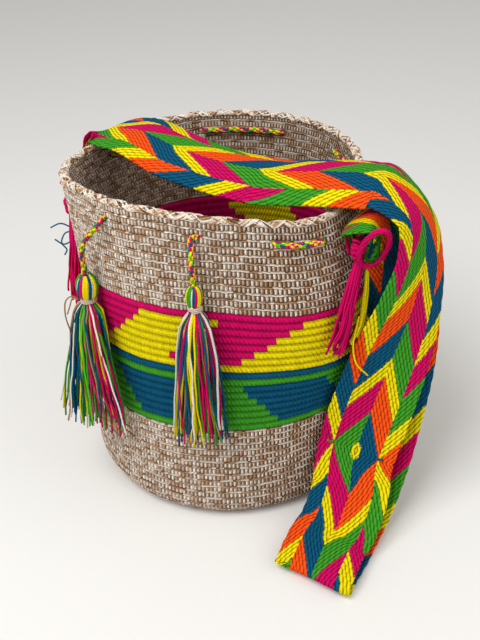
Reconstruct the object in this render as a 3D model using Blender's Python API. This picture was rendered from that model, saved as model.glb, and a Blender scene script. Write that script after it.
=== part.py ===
"""A crocheted bucket shoulder bag: a marled wall with a bright band of colour, a wide woven strap that
crosses the mouth and folds over on the ground, a plaited drawstring in and out of its eyelets,
two yarn tassels on its ends, and the knotted yarns that lash the strap to the wall.
Blender 4.5, metres, +Z up. The origin is the middle of the base, on the ground; the front is at -Y."""

import math

import bpy
import bmesh
from mathutils import Vector

MM = 0.001

# Driving dimensions of the bag, in millimetres and degrees
BAG_HEIGHT = 297.0
BASE_RADIUS = 141.0
MOUTH_RADIUS = 126.0
CORNER_RADIUS = 20.0
WALL_THICKNESS = 5.0
MOUTH_SHIFT = 3.0

# The wall's soft irregular form: a bulge where the strap pulls, a corner at the left
BULGE = 22.0
BULGE_AZIMUTH = -48.0
BULGE_WIDTH = 32.0
BULGE_START = 0.12
BULGE_SPAN = 1.02
CORNER = 13.0
CORNER_AZIMUTH = 180.0
CORNER_WIDTH = 22.0
RIM_DIP = 12.0
RIM_DIP_WIDTH = 28.0
RIM_RISE = 11.0
RIM_RISE_AZIMUTH = -120.0
RIM_RISE_WIDTH = 45.0

# Crochet rows: each is one low ridge round the bag
CORNER_ROWS = 4
WALL_ROWS = 40
ROW_CREST = 0.9
ROW_VALLEY = -0.6
WALL_COLUMNS = 36
INNER_ROW_STEP = 3
RIM_BEAD = 1.5
RIM_BEAD_RISE = 0.35
RIM_WAVES = 18
RIM_WAVE_ROWS = 0.25

# The coloured band, counted in rows down from its top, and its slanted fields in degrees
ROWS_ABOVE_BAND = 13
BAND_ROWS = 17
MOTIFS = 6
MOTIF_AZIMUTH = 34.0
YELLOW_AZIMUTH = -124.5
YELLOW_STEP = -4.0
BLUE_AZIMUTH = -84.4
BLUE_STEP = 2.5

# Drawstring and its eyelets
CORD_DIAMETER = 4.0
CORD_GAP = 1.3
EYELET_DROP = 15.0
EYELET_LENGTH = 15.5
EYELET_CLEARANCE = 1.4
CORD_TURN = 2.6
CORD_STEP = 5.0
EYELET_AZIMUTHS = (-98.0, -71.0, -52.0, -24.0, -5.0, 24.0, 57.0, 98.0, 120.0, 147.0, 180.0, 221.5)
CORD_END_TURN = 1.3

# Strap
STRAP_WIDTH = 70.0
STRAP_THICKNESS = 4.0
STRAP_STEP = 13.5
STRAP_EDGE = 0.55
STRAP_EASE = 0.55
MIDDLE_STATION = 20

# Tassels and their tails
HEAD_RADIUS = 9.5
RIGHT_HEAD_RADIUS = 7.0
HEAD_LENGTH = 22.0
RIGHT_HEAD_LENGTH = 18.5
NECK_RADIUS = 5.2
RIGHT_NECK_RADIUS = 4.2
NECK_LENGTH = 4.0
LEFT_SKIRT_LENGTH = 122.0
RIGHT_SKIRT_LENGTH = 130.0
SKIRT_HALF_WIDTH = 26.0
SKIRT_HALF_DEPTH = 13.0
SKIRT_STRANDS = 10
STRAND_DEPTH = 0.08
TASSEL_GAP = 2.0
TIE_RADIUS = 1.3
SEAT = 0.3

# Yarns that lash the strap's ends
KNOT_RADIUS = 7.5
FRINGE_RADIUS = 8.0
YARN_LOOP_RADIUS = 2.4
YELLOW_CORD_RADIUS = 2.2

COLOURS = {
    "marled_yarn": (0.40, 0.30, 0.22),
    "rim_yarn": (0.58, 0.50, 0.42),
    "magenta_yarn": (0.58, 0.0, 0.12),
    "yellow_yarn": (0.83, 0.72, 0.0),
    "green_yarn": (0.05, 0.33, 0.02),
    "blue_yarn": (0.0, 0.11, 0.24),
    "orange_yarn": (1.0, 0.08, 0.007),
    "white_yarn": (0.78, 0.72, 0.63),
    "plaited_yarn": (0.35, 0.40, 0.10),
}
YARN_ROUGHNESS = 0.9


def clear_scene():
    """Remove whatever the scene holds."""
    for item in list(bpy.data.objects):
        bpy.data.objects.remove(item, do_unlink=True)


def yarn(name):
    """The material of one colour of cotton yarn."""
    found = bpy.data.materials.get(name)
    if found:
        return found
    material = bpy.data.materials.new(name)
    material.use_nodes = True
    shader = material.node_tree.nodes["Principled BSDF"]
    shader.inputs["Base Color"].default_value = COLOURS[name] + (1.0,)
    shader.inputs["Roughness"].default_value = YARN_ROUGHNESS
    shader.inputs["Metallic"].default_value = 0.0
    material.diffuse_color = COLOURS[name] + (1.0,)
    return material


def loft(name, rings, materials, pick=None):
    """A closed body through rings of points in millimetres, with flat ends; pick(ring, column) is a slot."""
    mesh = bpy.data.meshes.new(name)
    work = bmesh.new()
    rows = [[work.verts.new(point * MM) for point in ring] for ring in rings]
    count = len(rings[0])
    for r in range(len(rows) - 1):
        for c in range(count):
            after = (c + 1) % count
            face = work.faces.new((rows[r][c], rows[r][after], rows[r + 1][after], rows[r + 1][c]))
            face.material_index = pick(r, c) if pick else 0
    first = work.faces.new(rows[0][::-1])
    last = work.faces.new(rows[-1])
    first.material_index = pick(0, 0) if pick else 0
    last.material_index = pick(len(rows) - 2, 0) if pick else 0
    bmesh.ops.recalc_face_normals(work, faces=work.faces)
    work.to_mesh(mesh)
    work.free()
    for entry in materials:
        mesh.materials.append(yarn(entry))
    mesh.shade_smooth()
    item = bpy.data.objects.new(name, mesh)
    bpy.context.collection.objects.link(item)
    return item


# The wall's form
def bump(azimuth, centre, width):
    """A smooth hump of height 1 round one azimuth."""
    turn = (azimuth - centre + 180.0) % 360.0 - 180.0
    return math.exp(-(turn / width) ** 2)


def rim_height(azimuth):
    """Height of the rim, which droops at the strap and stands up at the front left."""
    dip = RIM_DIP * bump(azimuth, BULGE_AZIMUTH, RIM_DIP_WIDTH)
    rise = RIM_RISE * bump(azimuth, RIM_RISE_AZIMUTH, RIM_RISE_WIDTH)
    return BAG_HEIGHT - dip + rise


def wall_radius(azimuth, share):
    """Radius of the outer wall; share runs from 0 above the rounded corner to 1 at the rim."""
    taper = (1.0 - share) ** 2
    radius = MOUTH_RADIUS + (BASE_RADIUS - MOUTH_RADIUS) * taper
    belly = 0.0
    if share > BULGE_START:
        belly = math.sin(math.pi * (share - BULGE_START) / BULGE_SPAN) ** 2
    radius += BULGE * belly * bump(azimuth, BULGE_AZIMUTH, BULGE_WIDTH)
    radius += CORNER * max(share, 0.0) ** 1.5 * bump(azimuth, CORNER_AZIMUTH, CORNER_WIDTH)
    return radius


def wall_point(azimuth, row, offset=0.0):
    """A point of the wall at a row above the base's edge, offset outwards from the mean outer face."""
    angle = math.radians(azimuth)
    if row < CORNER_ROWS:
        bend = math.radians(90.0) * row / CORNER_ROWS
        radius = BASE_RADIUS - CORNER_RADIUS + (CORNER_RADIUS + offset) * math.sin(bend)
        height = CORNER_RADIUS - (CORNER_RADIUS + offset) * math.cos(bend)
        shift = 0.0
    else:
        share = (row - CORNER_ROWS) / WALL_ROWS
        radius = wall_radius(azimuth, share) + offset
        height = CORNER_RADIUS + share * (BAG_HEIGHT - CORNER_RADIUS)
        height += share * share * (rim_height(azimuth) - BAG_HEIGHT)
        shift = MOUTH_SHIFT * share
    return Vector((radius * math.cos(angle), radius * math.sin(angle) + shift, height))


def row_at(azimuth, height):
    """The row that lies at a height of the wall."""
    span = BAG_HEIGHT - CORNER_RADIUS
    above = height - CORNER_RADIUS
    root = math.sqrt(span * span + 4.0 * (rim_height(azimuth) - BAG_HEIGHT) * above)
    return CORNER_ROWS + WALL_ROWS * 2.0 * above / (span + root)


def by_wall(azimuth, drop, stand_off):
    """A point beside the wall: so far below the rim, so far out from the wall's mean outer face."""
    return wall_point(azimuth, row_at(azimuth, rim_height(azimuth) - drop), stand_off)


def outward(azimuth):
    """Unit vector pointing straight out from the wall."""
    return Vector((math.cos(math.radians(azimuth)), math.sin(math.radians(azimuth)), 0.0))


def sideways(azimuth):
    """Unit vector along the wall, anticlockwise from above."""
    return Vector((-math.sin(math.radians(azimuth)), math.cos(math.radians(azimuth)), 0.0))


# The bag
BAG_YARNS = ("marled_yarn", "rim_yarn", "magenta_yarn", "yellow_yarn", "green_yarn", "blue_yarn")


def band_yarn(row, azimuth):
    """The yarn of one stitch: plain marled rows, and between them the band with its slanted fields."""
    top = CORNER_ROWS + WALL_ROWS - ROWS_ABOVE_BAND
    number = top - row
    pitch = 360.0 / MOTIFS
    if row < 1:
        return "magenta_yarn"
    if number < 1 or number > BAND_ROWS:
        return "marled_yarn"
    if number == 1:
        return "magenta_yarn"
    if number <= 7:
        along = (azimuth - YELLOW_AZIMUTH - YELLOW_STEP * (number - 2)) % pitch
        return "yellow_yarn" if along < MOTIF_AZIMUTH else "magenta_yarn"
    if number == 8:
        return "yellow_yarn"
    if number == 9:
        return "blue_yarn"
    if number in (10, BAND_ROWS):
        return "green_yarn"
    along = (azimuth - BLUE_AZIMUTH - BLUE_STEP * (number - 11)) % pitch
    return "blue_yarn" if along < MOTIF_AZIMUTH else "green_yarn"


def ring_round(row, offset, waved=False):
    """One ring of points round the wall."""
    points = []
    for c in range(WALL_COLUMNS):
        azimuth = 360.0 * c / WALL_COLUMNS
        wave = RIM_WAVE_ROWS * math.cos(math.radians(azimuth * RIM_WAVES)) if waved else 0.0
        points.append(wall_point(azimuth, row + wave, offset))
    return points


def make_bag():
    """Base, rounded corner, ridged wall, scalloped rim and plain inside, in one crocheted piece."""
    rows_up = CORNER_ROWS + WALL_ROWS
    rings = [ring_round(0.0, 0.0)]
    tags = []
    for row in range(rows_up):
        rings.append(ring_round(row + 0.5, ROW_CREST if row else 0.0))
        tags.append(row)
        if row < rows_up - 1:
            rings.append(ring_round(row + 1.0, ROW_VALLEY))
            tags.append(row)
    rim = rows_up - 1
    rings.append(ring_round(rows_up - 0.1, RIM_BEAD, True))
    rings.append(ring_round(rows_up + RIM_BEAD_RISE, -0.5 * WALL_THICKNESS, True))
    rings.append(ring_round(rows_up - 0.1, -WALL_THICKNESS - RIM_BEAD, True))
    tags += [rim] * 3
    row = rows_up - 1
    while row > CORNER_ROWS:
        rings.append(ring_round(float(row), -WALL_THICKNESS))
        tags.append(row)
        row -= INNER_ROW_STEP
    for row in (CORNER_ROWS, 0.5 * CORNER_ROWS, 0.0):
        rings.append(ring_round(float(row), -WALL_THICKNESS))
        tags.append(int(row))

    def pick(ring, column):
        row = tags[ring]
        if row == rim:
            return BAG_YARNS.index("rim_yarn")
        return BAG_YARNS.index(band_yarn(row, 360.0 * (column + 0.5) / WALL_COLUMNS))

    bag = loft("bag_body", rings, BAG_YARNS, pick)
    cutter = make_eyelet_cutter()
    cut = bag.modifiers.new("eyelets", "BOOLEAN")
    cut.operation = "DIFFERENCE"
    cut.object = cutter
    return bag


def make_eyelet_cutter():
    """One short slot through the wall for each place where the drawstring passes."""
    mesh = bpy.data.meshes.new("eyelet_cutter")
    work = bmesh.new()
    height = CORD_DIAMETER + EYELET_CLEARANCE
    for azimuth in EYELET_AZIMUTHS:
        centre = by_wall(azimuth, EYELET_DROP, -0.5 * WALL_THICKNESS)
        along = sideways(azimuth) * (0.5 * EYELET_LENGTH)
        through = outward(azimuth) * (2.0 * WALL_THICKNESS)
        half_turn = math.degrees(0.5 * EYELET_LENGTH / MOUTH_RADIUS)
        slope = 0.5 * (rim_height(azimuth + half_turn) - rim_height(azimuth - half_turn))
        along.z = slope
        up = Vector((0.0, 0.0, 0.5 * height))
        corners = []
        for depth in (-1.0, 1.0):
            for side, level in ((-1.0, -1.0), (1.0, -1.0), (1.0, 1.0), (-1.0, 1.0)):
                corners.append(work.verts.new((centre + through * depth + along * side + up * level) * MM))
        quads = ((0, 1, 2, 3), (7, 6, 5, 4), (0, 4, 5, 1), (1, 5, 6, 2), (2, 6, 7, 3), (3, 7, 4, 0))
        for quad in quads:
            work.faces.new([corners[i] for i in quad])
    bmesh.ops.recalc_face_normals(work, faces=work.faces)
    work.to_mesh(mesh)
    work.free()
    cutter = bpy.data.objects.new("eyelet_cutter", mesh)
    cutter.hide_render = True
    cutter.display_type = "WIRE"
    bpy.context.collection.objects.link(cutter)
    return cutter


# Cords
def smooth_step(value):
    """0 to 1 with level ends."""
    value = min(max(value, 0.0), 1.0)
    return value * value * (3.0 - 2.0 * value)


def through(points, spacing):
    """Points at an even spacing along a smooth curve through a few chosen ones."""
    fine = []
    ends = [points[0] * 2 - points[1]] + list(points) + [points[-1] * 2 - points[-2]]
    for i in range(1, len(ends) - 2):
        a, b, c, d = ends[i - 1:i + 3]
        for k in range(12):
            t = k / 12.0
            fine.append(0.5 * (2 * b + (c - a) * t + (2 * a - 5 * b + 4 * c - d) * t ** 2
                               + (3 * b - a - 3 * c + d) * t ** 3))
    fine.append(points[-1].copy())
    lengths = [0.0]
    for a, b in zip(fine, fine[1:]):
        lengths.append(lengths[-1] + (b - a).length)
    count = max(2, round(lengths[-1] / spacing))
    even = []
    place = 0
    for k in range(count + 1):
        want = lengths[-1] * k / count
        while place < len(fine) - 2 and lengths[place + 1] < want:
            place += 1
        gap = lengths[place + 1] - lengths[place]
        even.append(fine[place].lerp(fine[place + 1], (want - lengths[place]) / gap))
    return even


def make_cord(name, points, diameter, material, start_shares=()):
    """A round cord on a poly spline with closed ends; start_shares thin its first points."""
    curve = bpy.data.curves.new(name, "CURVE")
    curve.dimensions = "3D"
    curve.bevel_depth = 0.5 * diameter * MM
    curve.bevel_resolution = 2
    curve.use_fill_caps = True
    spline = curve.splines.new("POLY")
    spline.points.add(len(points) - 1)
    for target, point in zip(spline.points, points):
        target.co = (point * MM).to_4d()
    for target, share in zip(spline.points, start_shares):
        target.radius = share
    curve.materials.append(yarn(material))
    item = bpy.data.objects.new(name, curve)
    bpy.context.collection.objects.link(item)
    return item


def cord_side(azimuth):
    """+1 where the drawstring runs outside the wall, -1 inside: it changes sides at each eyelet."""
    side = 1.0
    value = side
    for eyelet in EYELET_AZIMUTHS:
        turned = smooth_step((azimuth - eyelet + CORD_TURN) / (2.0 * CORD_TURN))
        value += -2.0 * side * turned
        side = -side
    return value


def cord_point(azimuth):
    """A point of the drawstring's centreline."""
    reach = 0.5 * (WALL_THICKNESS + CORD_DIAMETER) + CORD_GAP + 0.5 * ROW_CREST
    drop = EYELET_DROP
    return by_wall(azimuth, drop, cord_side(azimuth) * reach - 0.5 * WALL_THICKNESS)


def make_drawstring():
    """The plaited cord from one tail's eyelet right round to the other's, as one piece."""
    start = EYELET_AZIMUTHS[0] - CORD_END_TURN
    end = EYELET_AZIMUTHS[-1] + CORD_END_TURN
    count = round((end - start) / CORD_STEP)
    azimuths = [start + (end - start) * k / count for k in range(count + 1)]
    for eyelet in EYELET_AZIMUTHS:
        azimuths += [eyelet - CORD_TURN, eyelet, eyelet + CORD_TURN]
    azimuths = sorted(a for a in azimuths if start <= a <= end)
    kept = [start]
    for azimuth in azimuths:
        if azimuth - kept[-1] > 0.45 * CORD_TURN:
            kept.append(azimuth)
    kept[-1] = end
    make_cord("drawstring", [cord_point(a) for a in kept], CORD_DIAMETER, "plaited_yarn")
    ends = []
    for last, before in ((start, kept[1]), (end, kept[-2])):
        ends.append((cord_point(last), (cord_point(last) - cord_point(before)).normalized()))
    return ends


# The strap
def free(x, y, z, layers=0.0):
    """A place of the strap in parts of the mouth's radius and the bag's height, on layers of strap."""
    return Vector((x * MOUTH_RADIUS, y * MOUTH_RADIUS, z * BAG_HEIGHT + layers * STRAP_THICKNESS))


def strap_stations():
    """The strap's route from its left end to its right one.

    Each station is a place, the azimuth and tilt of the width in degrees, how far the edges droop
    below the middle, and the share of the full width, which is gathered at both ends.
    """
    over = CORD_DIAMETER + CORD_GAP + 0.5 * ROW_CREST + 0.5 * STRAP_THICKNESS + SEAT + STRAP_EASE
    return [
        (by_wall(162.0, 54.0, over), 61.0, -30.0, 0.0, 0.50),
        (by_wall(159.0, 42.0, over + 0.8), 60.0, -32.0, 0.0, 0.55),
        (by_wall(154.0, 27.0, over + 1.2), 58.0, -32.0, 0.0, 0.66),
        (by_wall(149.5, 13.0, over + 0.8), 56.0, -22.0, 0.0, 0.80),
        (by_wall(146.0, 1.5, over - 1.6), 54.0, -8.0, 0.0, 0.92),
        (by_wall(143.0, -8.0, -2.0), 53.0, -2.0, 1.0, 1.0),
        (free(-0.66, 0.495, 1.040), 50.0, 4.0, 2.0, 1.0),
        (free(-0.53, 0.385, 1.045), 49.0, 4.0, 4.0, 1.0),
        (free(-0.33, 0.195, 1.030), 48.0, 6.0, 6.0, 1.0),
        (free(-0.21, 0.075, 1.027), 54.0, 8.0, 8.0, 1.0),
        (free(0.03, -0.075, 1.014), 58.0, 9.0, 10.0, 1.0),
        (free(0.28, -0.245, 1.014), 62.0, 10.0, 11.0, 1.0),
        (free(0.40, -0.335, 1.020), 64.0, 10.0, 11.0, 1.0),
        (free(0.68, -0.445, 1.034), 67.0, 9.0, 10.0, 1.0),
        (free(0.95, -0.555, 1.044), 65.0, 6.0, 7.0, 1.0),
        (free(1.09, -0.615, 1.034), 58.0, 0.0, 5.0, 1.0),
        (free(1.25, -0.755, 0.957), 54.0, -11.0, 4.0, 1.0),
        (free(1.26, -0.855, 0.846), 40.0, -14.0, 3.0, 1.0),
        (free(1.22, -0.925, 0.710), 26.0, -16.0, 2.0, 1.0),
        (free(1.08, -0.985, 0.527), 0.0, -12.0, 1.0, 1.0),
        (free(0.865, -1.088, 0.249), -29.0, -5.0, 0.0, 1.0),
        (free(0.80, -1.235, 0.135), -30.0, -4.0, 0.0, 1.0),
        (free(0.70, -1.385, 0.030, 2.4), -33.0, -4.0, 0.0, 1.0),
        (free(0.62, -1.485, 0.0, 3.9), -34.0, -2.0, 0.0, 1.0),
        (free(0.53, -1.655, 0.0, 3.4), -35.0, 0.0, 0.0, 1.0),
        (free(0.49, -1.730, 0.0, 2.6), -36.0, 0.0, 0.0, 1.0),
        (free(0.482, -1.745, 0.0, 1.7), -36.0, 0.0, 0.0, 1.0),
        (free(0.51, -1.685, 0.0, 0.78), -36.0, 0.0, 0.0, 1.0),
        (free(0.60, -1.545, 0.0, 0.78), -36.0, 0.0, 0.0, 1.0),
        (free(0.71, -1.365, 0.0, 0.93), -36.0, 0.0, 0.0, 1.0),
        (free(0.875, -1.14, 0.060, 0.8), -35.0, 0.0, 0.0, 1.0),
        (free(1.00, -0.995, 0.20), -29.0, 0.0, 0.0, 1.0),
        (free(1.085, -0.89, 0.332), -20.0, 0.0, 0.0, 1.0),
        (free(1.145, -0.84, 0.465), -8.0, 0.0, 0.0, 1.0),
        (free(1.185, -0.80, 0.60), 8.0, 0.0, 0.0, 1.0),
        (free(1.18, -0.765, 0.72), 27.0, 0.0, 1.0, 0.95),
        (free(1.16, -0.755, 0.835), 40.0, 0.0, 2.0, 0.85),
        (free(1.10, -0.775, 0.920), 48.0, 0.0, 2.0, 0.75),
        (free(1.02, -0.795, 0.955), 52.0, 0.0, 2.0, 0.66),
        (free(0.93, -0.785, 0.958), 50.0, 0.0, 1.0, 0.62),
        (by_wall(-44.0, 8.0, over + 1.9), 48.0, 0.0, 0.0, 0.60),
        (by_wall(-44.0, 22.0, over), 46.0, 0.0, 0.0, 0.58),
        (by_wall(-44.0, 38.0, over - 0.8), 46.0, 0.0, 0.0, 0.55),
    ]


def strap_frames():
    """Samples along the route: place, width direction, face direction, droop, half width, length run."""
    stations = strap_stations()
    places = [s[0] for s in stations]
    ends = [places[0] * 2 - places[1]] + places + [places[-1] * 2 - places[-2]]
    samples = []
    for i in range(len(stations) - 1):
        a, b, c, d = ends[i:i + 4]
        first, second = stations[i], stations[i + 1]
        steps = max(1, round((c - b).length / STRAP_STEP))
        for k in range(steps):
            t = k / steps
            place = 0.5 * (2 * b + (c - a) * t + (2 * a - 5 * b + 4 * c - d) * t ** 2
                           + (3 * b - a - 3 * c + d) * t ** 3)
            values = [first[n] + (second[n] - first[n]) * t for n in range(1, 5)]
            samples.append((place, values, i + t))
    samples.append((places[-1], list(stations[-1][1:5]), len(stations) - 1.0))
    frames = []
    run = 0.0
    middle = 0.0
    for k, (place, values, station) in enumerate(samples):
        before = samples[max(k - 1, 0)][0]
        after = samples[min(k + 1, len(samples) - 1)][0]
        tangent = (after - before).normalized()
        azimuth, tilt = math.radians(values[0]), math.radians(values[1])
        width = Vector((math.cos(azimuth) * math.cos(tilt), math.sin(azimuth) * math.cos(tilt), math.sin(tilt)))
        width = (width - tangent * width.dot(tangent)).normalized()
        if k:
            run += (place - samples[k - 1][0]).length
        if station == MIDDLE_STATION:
            middle = run
        frames.append([place, width, tangent.cross(width), values[2], 0.5 * STRAP_WIDTH * values[3], run])
    return frames, middle


STRAP_YARNS = ("magenta_yarn", "yellow_yarn", "blue_yarn", "orange_yarn", "green_yarn")
LEFT_CYCLE = ("magenta_yarn", "yellow_yarn", "blue_yarn", "orange_yarn", "yellow_yarn", "green_yarn")
RIGHT_CYCLE = ("orange_yarn", "yellow_yarn", "green_yarn", "magenta_yarn", "yellow_yarn", "blue_yarn")
WIDE_BAND = 36.0
NARROW_BAND = 21.0
VALLEY = 0.20
SLANT = 1.89


def strap_yarn(across, along):
    """Yarn of the strap: nested chevrons, mirrored about the diamond in the middle of its length."""
    left = across < 0.5
    valley = VALLEY if left else 1.0 - VALLEY
    place = abs(along) - SLANT * STRAP_WIDTH * abs(across - valley)
    if place < 0.0:
        inner = (across > valley) == left
        if inner:
            return "green_yarn" if left else "blue_yarn"
        return "magenta_yarn" if left else "orange_yarn"
    cycle = LEFT_CYCLE if left else RIGHT_CYCLE
    widths = (WIDE_BAND, NARROW_BAND, WIDE_BAND) * 2
    place %= sum(widths)
    for name, width in zip(cycle, widths):
        if place < width:
            return name
        place -= width
    return cycle[-1]


def make_strap():
    """The woven strap: one band, arched across where it hangs, lying double on the ground at its fold."""
    frames, middle = strap_frames()
    across = (-1.0, -0.62, -0.2, 0.2, 0.62, 1.0)
    rings = []
    for place, width, face, droop, half, _ in frames:
        ring = []
        for side in (1.0, -1.0):
            order = across if side > 0 else across[::-1]
            for a in order:
                thick = STRAP_EDGE if abs(a) == 1.0 else 1.0
                sink = droop * a * a
                ring.append(place + width * (a * half) + face * (side * 0.5 * STRAP_THICKNESS * thick - sink))
        rings.append(ring)

    def pick(ring, column):
        if column < 5:
            place = 0.5 * (across[column] + across[column + 1])
        elif column == 5:
            place = 1.0
        elif column < 11:
            place = -0.5 * (across[column - 6] + across[column - 5])
        else:
            place = -1.0
        run = 0.5 * (frames[ring][5] + frames[ring + 1][5]) - middle
        return STRAP_YARNS.index(strap_yarn(0.5 + 0.5 * place, run))

    return loft("strap", rings, STRAP_YARNS, pick)


# Tassels
def tassel_rings(skirt, head, neck):
    """Down a tassel: distance below the head's top, half width, half depth, share of the ribbing."""
    radius, length = head
    return (
        (0.0, 0.35 * radius, 0.35 * radius, 0.0),
        (0.14 * length, 0.80 * radius, 0.80 * radius, 0.5),
        (0.45 * length, radius, radius, 0.6),
        (0.80 * length, 0.86 * radius, 0.86 * radius, 0.5),
        (length, neck, neck, 0.0),
        (length + NECK_LENGTH, neck, neck, 0.0),
        (length + 0.10 * skirt, 0.42 * SKIRT_HALF_WIDTH, 0.85 * SKIRT_HALF_DEPTH, 1.0),
        (length + 0.30 * skirt, 0.62 * SKIRT_HALF_WIDTH, SKIRT_HALF_DEPTH, 1.0),
        (length + 0.65 * skirt, 0.84 * SKIRT_HALF_WIDTH, SKIRT_HALF_DEPTH, 1.0),
        (length + skirt, SKIRT_HALF_WIDTH, 0.9 * SKIRT_HALF_DEPTH, 1.0),
    )


def make_tassel(name, azimuth, drop, lean, skirt, turn, head, neck):
    """Head and skirt of folded yarn against the wall, and the tie; the skirt's width turns off the wall."""
    rings = []
    corners = 2 * SKIRT_STRANDS
    radius, length = head
    for below, half_width, half_depth, ribbed in tassel_rings(skirt, head, neck):
        down = max(below - length - NECK_LENGTH, 0.0) / skirt
        where = azimuth + lean * down
        turned = turn * down
        lifted = half_width * math.sin(math.radians(abs(turned))) + half_depth - radius
        stand = radius * (1.0 + STRAND_DEPTH) + TASSEL_GAP + max(lifted, 0.0)
        centre = by_wall(where, drop + below, stand)
        ring = []
        for c in range(corners):
            angle = math.tau * c / corners
            rib = 1.0 + STRAND_DEPTH * ribbed * (1.0 if c % 2 else -1.0)
            along = sideways(where + turned) * (half_width * rib * math.cos(angle))
            ring.append(centre + along + outward(where + turned) * (half_depth * rib * math.sin(angle)))
        rings.append(ring)
    loft(name, rings, ("green_yarn", "yellow_yarn", "blue_yarn", "magenta_yarn"), lambda r, c: (c // 2) % 4)
    stand = radius * (1.0 + STRAND_DEPTH) + TASSEL_GAP
    make_tie(name + "_tie", by_wall(azimuth, drop + length + 0.5 * NECK_LENGTH, stand), neck)
    return by_wall(azimuth, drop - SEAT, stand)


def make_hanging(side, cord_end, eyelet, azimuth, drop, lean, skirt, turn, head, neck):
    """One tail of the drawstring with its tassel, on an empty at the middle of the tail's round start."""
    start, heading = cord_end
    top = make_tassel(side + "_tassel", azimuth, drop, lean, skirt, turn, head, neck)
    begin = start + heading * SEAT
    centre = begin + heading * (0.5 * CORD_DIAMETER)
    out = outward(eyelet)
    above = Vector((0.0, 0.0, 2.0 * CORD_DIAMETER))
    route = [centre + heading * 1.0, begin.lerp(top, 0.4) + out * CORD_DIAMETER, top + above, top]
    points = [begin, begin.lerp(centre, 0.35)] + [centre] + through(route, 2.2 * CORD_DIAMETER)[1:]
    make_cord(side + "_tail", points, CORD_DIAMETER, "plaited_yarn", (0.25, 0.72))
    pivot = bpy.data.objects.new(side + "_pivot", None)
    pivot.location = centre * MM
    bpy.context.collection.objects.link(pivot)
    bpy.context.view_layer.update()
    for name in (side + "_tail", side + "_tassel", side + "_tassel_tie"):
        piece = bpy.data.objects[name]
        piece.parent = pivot
        piece.matrix_parent_inverse = pivot.matrix_world.inverted()


def make_tie(name, centre, neck):
    """A ring of yarn tied round the tassel's neck."""
    bpy.ops.mesh.primitive_torus_add(
        location=centre * MM,
        major_radius=(neck + TIE_RADIUS + SEAT) * MM,
        minor_radius=TIE_RADIUS * MM,
        major_segments=16,
        minor_segments=6,
    )
    tie = bpy.context.object
    tie.name = name
    tie.data.name = name
    tie.data.materials.append(yarn("white_yarn"))
    tie.data.shade_smooth()
    return tie


# Lashing yarns
def bundle(name, points, radii, spacing, material, sides=8, ribs=0.0):
    """A bundle of yarn along a route, its radius running through a few chosen values."""
    route = [points[0]] + through(points[1:], spacing)
    rings = []
    for k, point in enumerate(route):
        tangent = (route[min(k + 1, len(route) - 1)] - route[max(k - 1, 0)]).normalized()
        side = tangent.cross(Vector((0.0, 0.0, 1.0)))
        if side.length < 0.2:
            side = tangent.cross(Vector((0.0, 1.0, 0.0)))
        side.normalize()
        other = tangent.cross(side)
        share = k / (len(route) - 1) * (len(radii) - 1)
        index = min(int(share), len(radii) - 2)
        radius = radii[index] + (radii[index + 1] - radii[index]) * (share - index)
        ring = []
        for c in range(sides):
            turn = math.tau * c / sides
            rib = 1.0 + ribs * (1.0 if c % 2 else -1.0)
            ring.append(point + (side * math.cos(turn) + other * math.sin(turn)) * (radius * rib))
        rings.append(ring)
    return loft(name, rings, (material,))


def make_lashings():
    """Knots that tie the strap's ends to the wall, and the loose yarn that hangs from them."""
    stand = CORD_DIAMETER + CORD_GAP + 0.5 * ROW_CREST + STRAP_EASE + STRAP_THICKNESS + 2.0 * SEAT + KNOT_RADIUS
    small = 0.45 * KNOT_RADIUS
    knot_radii = (small, KNOT_RADIUS, KNOT_RADIUS, small)
    right = by_wall(-47.5, 26.0, stand + 0.5)
    left = by_wall(163.5, 50.0, stand + 0.5)
    half = Vector((0.0, 0.0, KNOT_RADIUS))
    for name, centre in (("right_strap_knot", right), ("left_strap_knot", left)):
        points = [centre + half, centre + half * 0.4, centre - half * 0.4, centre - half]
        bundle(name, points, knot_radii, 3.8, "magenta_yarn", 10)
    gap = Vector((0.0, 0.0, SEAT + KNOT_RADIUS))
    root = Vector((0.0, 0.0, 5.0))
    bundle("right_strap_fringe", [right - gap, right - gap - root, by_wall(-50.5, 62.0, 14.0),
                                  by_wall(-53.5, 88.0, 12.0), by_wall(-57.0, 112.0, 11.0)],
           (small, 0.75 * FRINGE_RADIUS, FRINGE_RADIUS, 0.9 * FRINGE_RADIUS), 9.0, "magenta_yarn", 12, 0.1)
    bundle("left_strap_fringe", [left - gap, left - gap - root, by_wall(172.0, 84.0, 11.0),
                                 by_wall(177.0, 112.0, 11.5), by_wall(180.0, 138.0, 11.0)],
           (small, 0.7 * FRINGE_RADIUS, FRINGE_RADIUS, 0.8 * FRINGE_RADIUS), 9.0, "magenta_yarn", 12, 0.1)
    out = outward(-47.5)
    along = sideways(-47.5)
    loop_start = right + out * (0.86 * KNOT_RADIUS + SEAT + YARN_LOOP_RADIUS)
    bundle("right_yarn_loop", [loop_start + Vector((0.0, 0.0, 2.5)), loop_start + out * 4.0 + Vector((0.0, 0.0, 13.0)),
                               loop_start + out * 11.0 + Vector((0.0, 0.0, 8.0)),
                               loop_start + out * 12.0 - Vector((0.0, 0.0, 6.0)),
                               loop_start + out * 5.0 - Vector((0.0, 0.0, 12.0)),
                               loop_start - Vector((0.0, 0.0, 3.5))],
           (YARN_LOOP_RADIUS, YARN_LOOP_RADIUS), 4.5, "magenta_yarn")
    cord_top = right - half * 0.75 + along * (0.7 * KNOT_RADIUS + SEAT + YELLOW_CORD_RADIUS)
    bundle("right_yellow_cord", [cord_top, cord_top - root, by_wall(-45.5, 62.0, 15.0),
                                 by_wall(-48.2, 86.0, 10.0), by_wall(-51.5, 108.0, 8.0)],
           (YELLOW_CORD_RADIUS, YELLOW_CORD_RADIUS, 1.6 * YELLOW_CORD_RADIUS), 8.0, "yellow_yarn")


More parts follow.
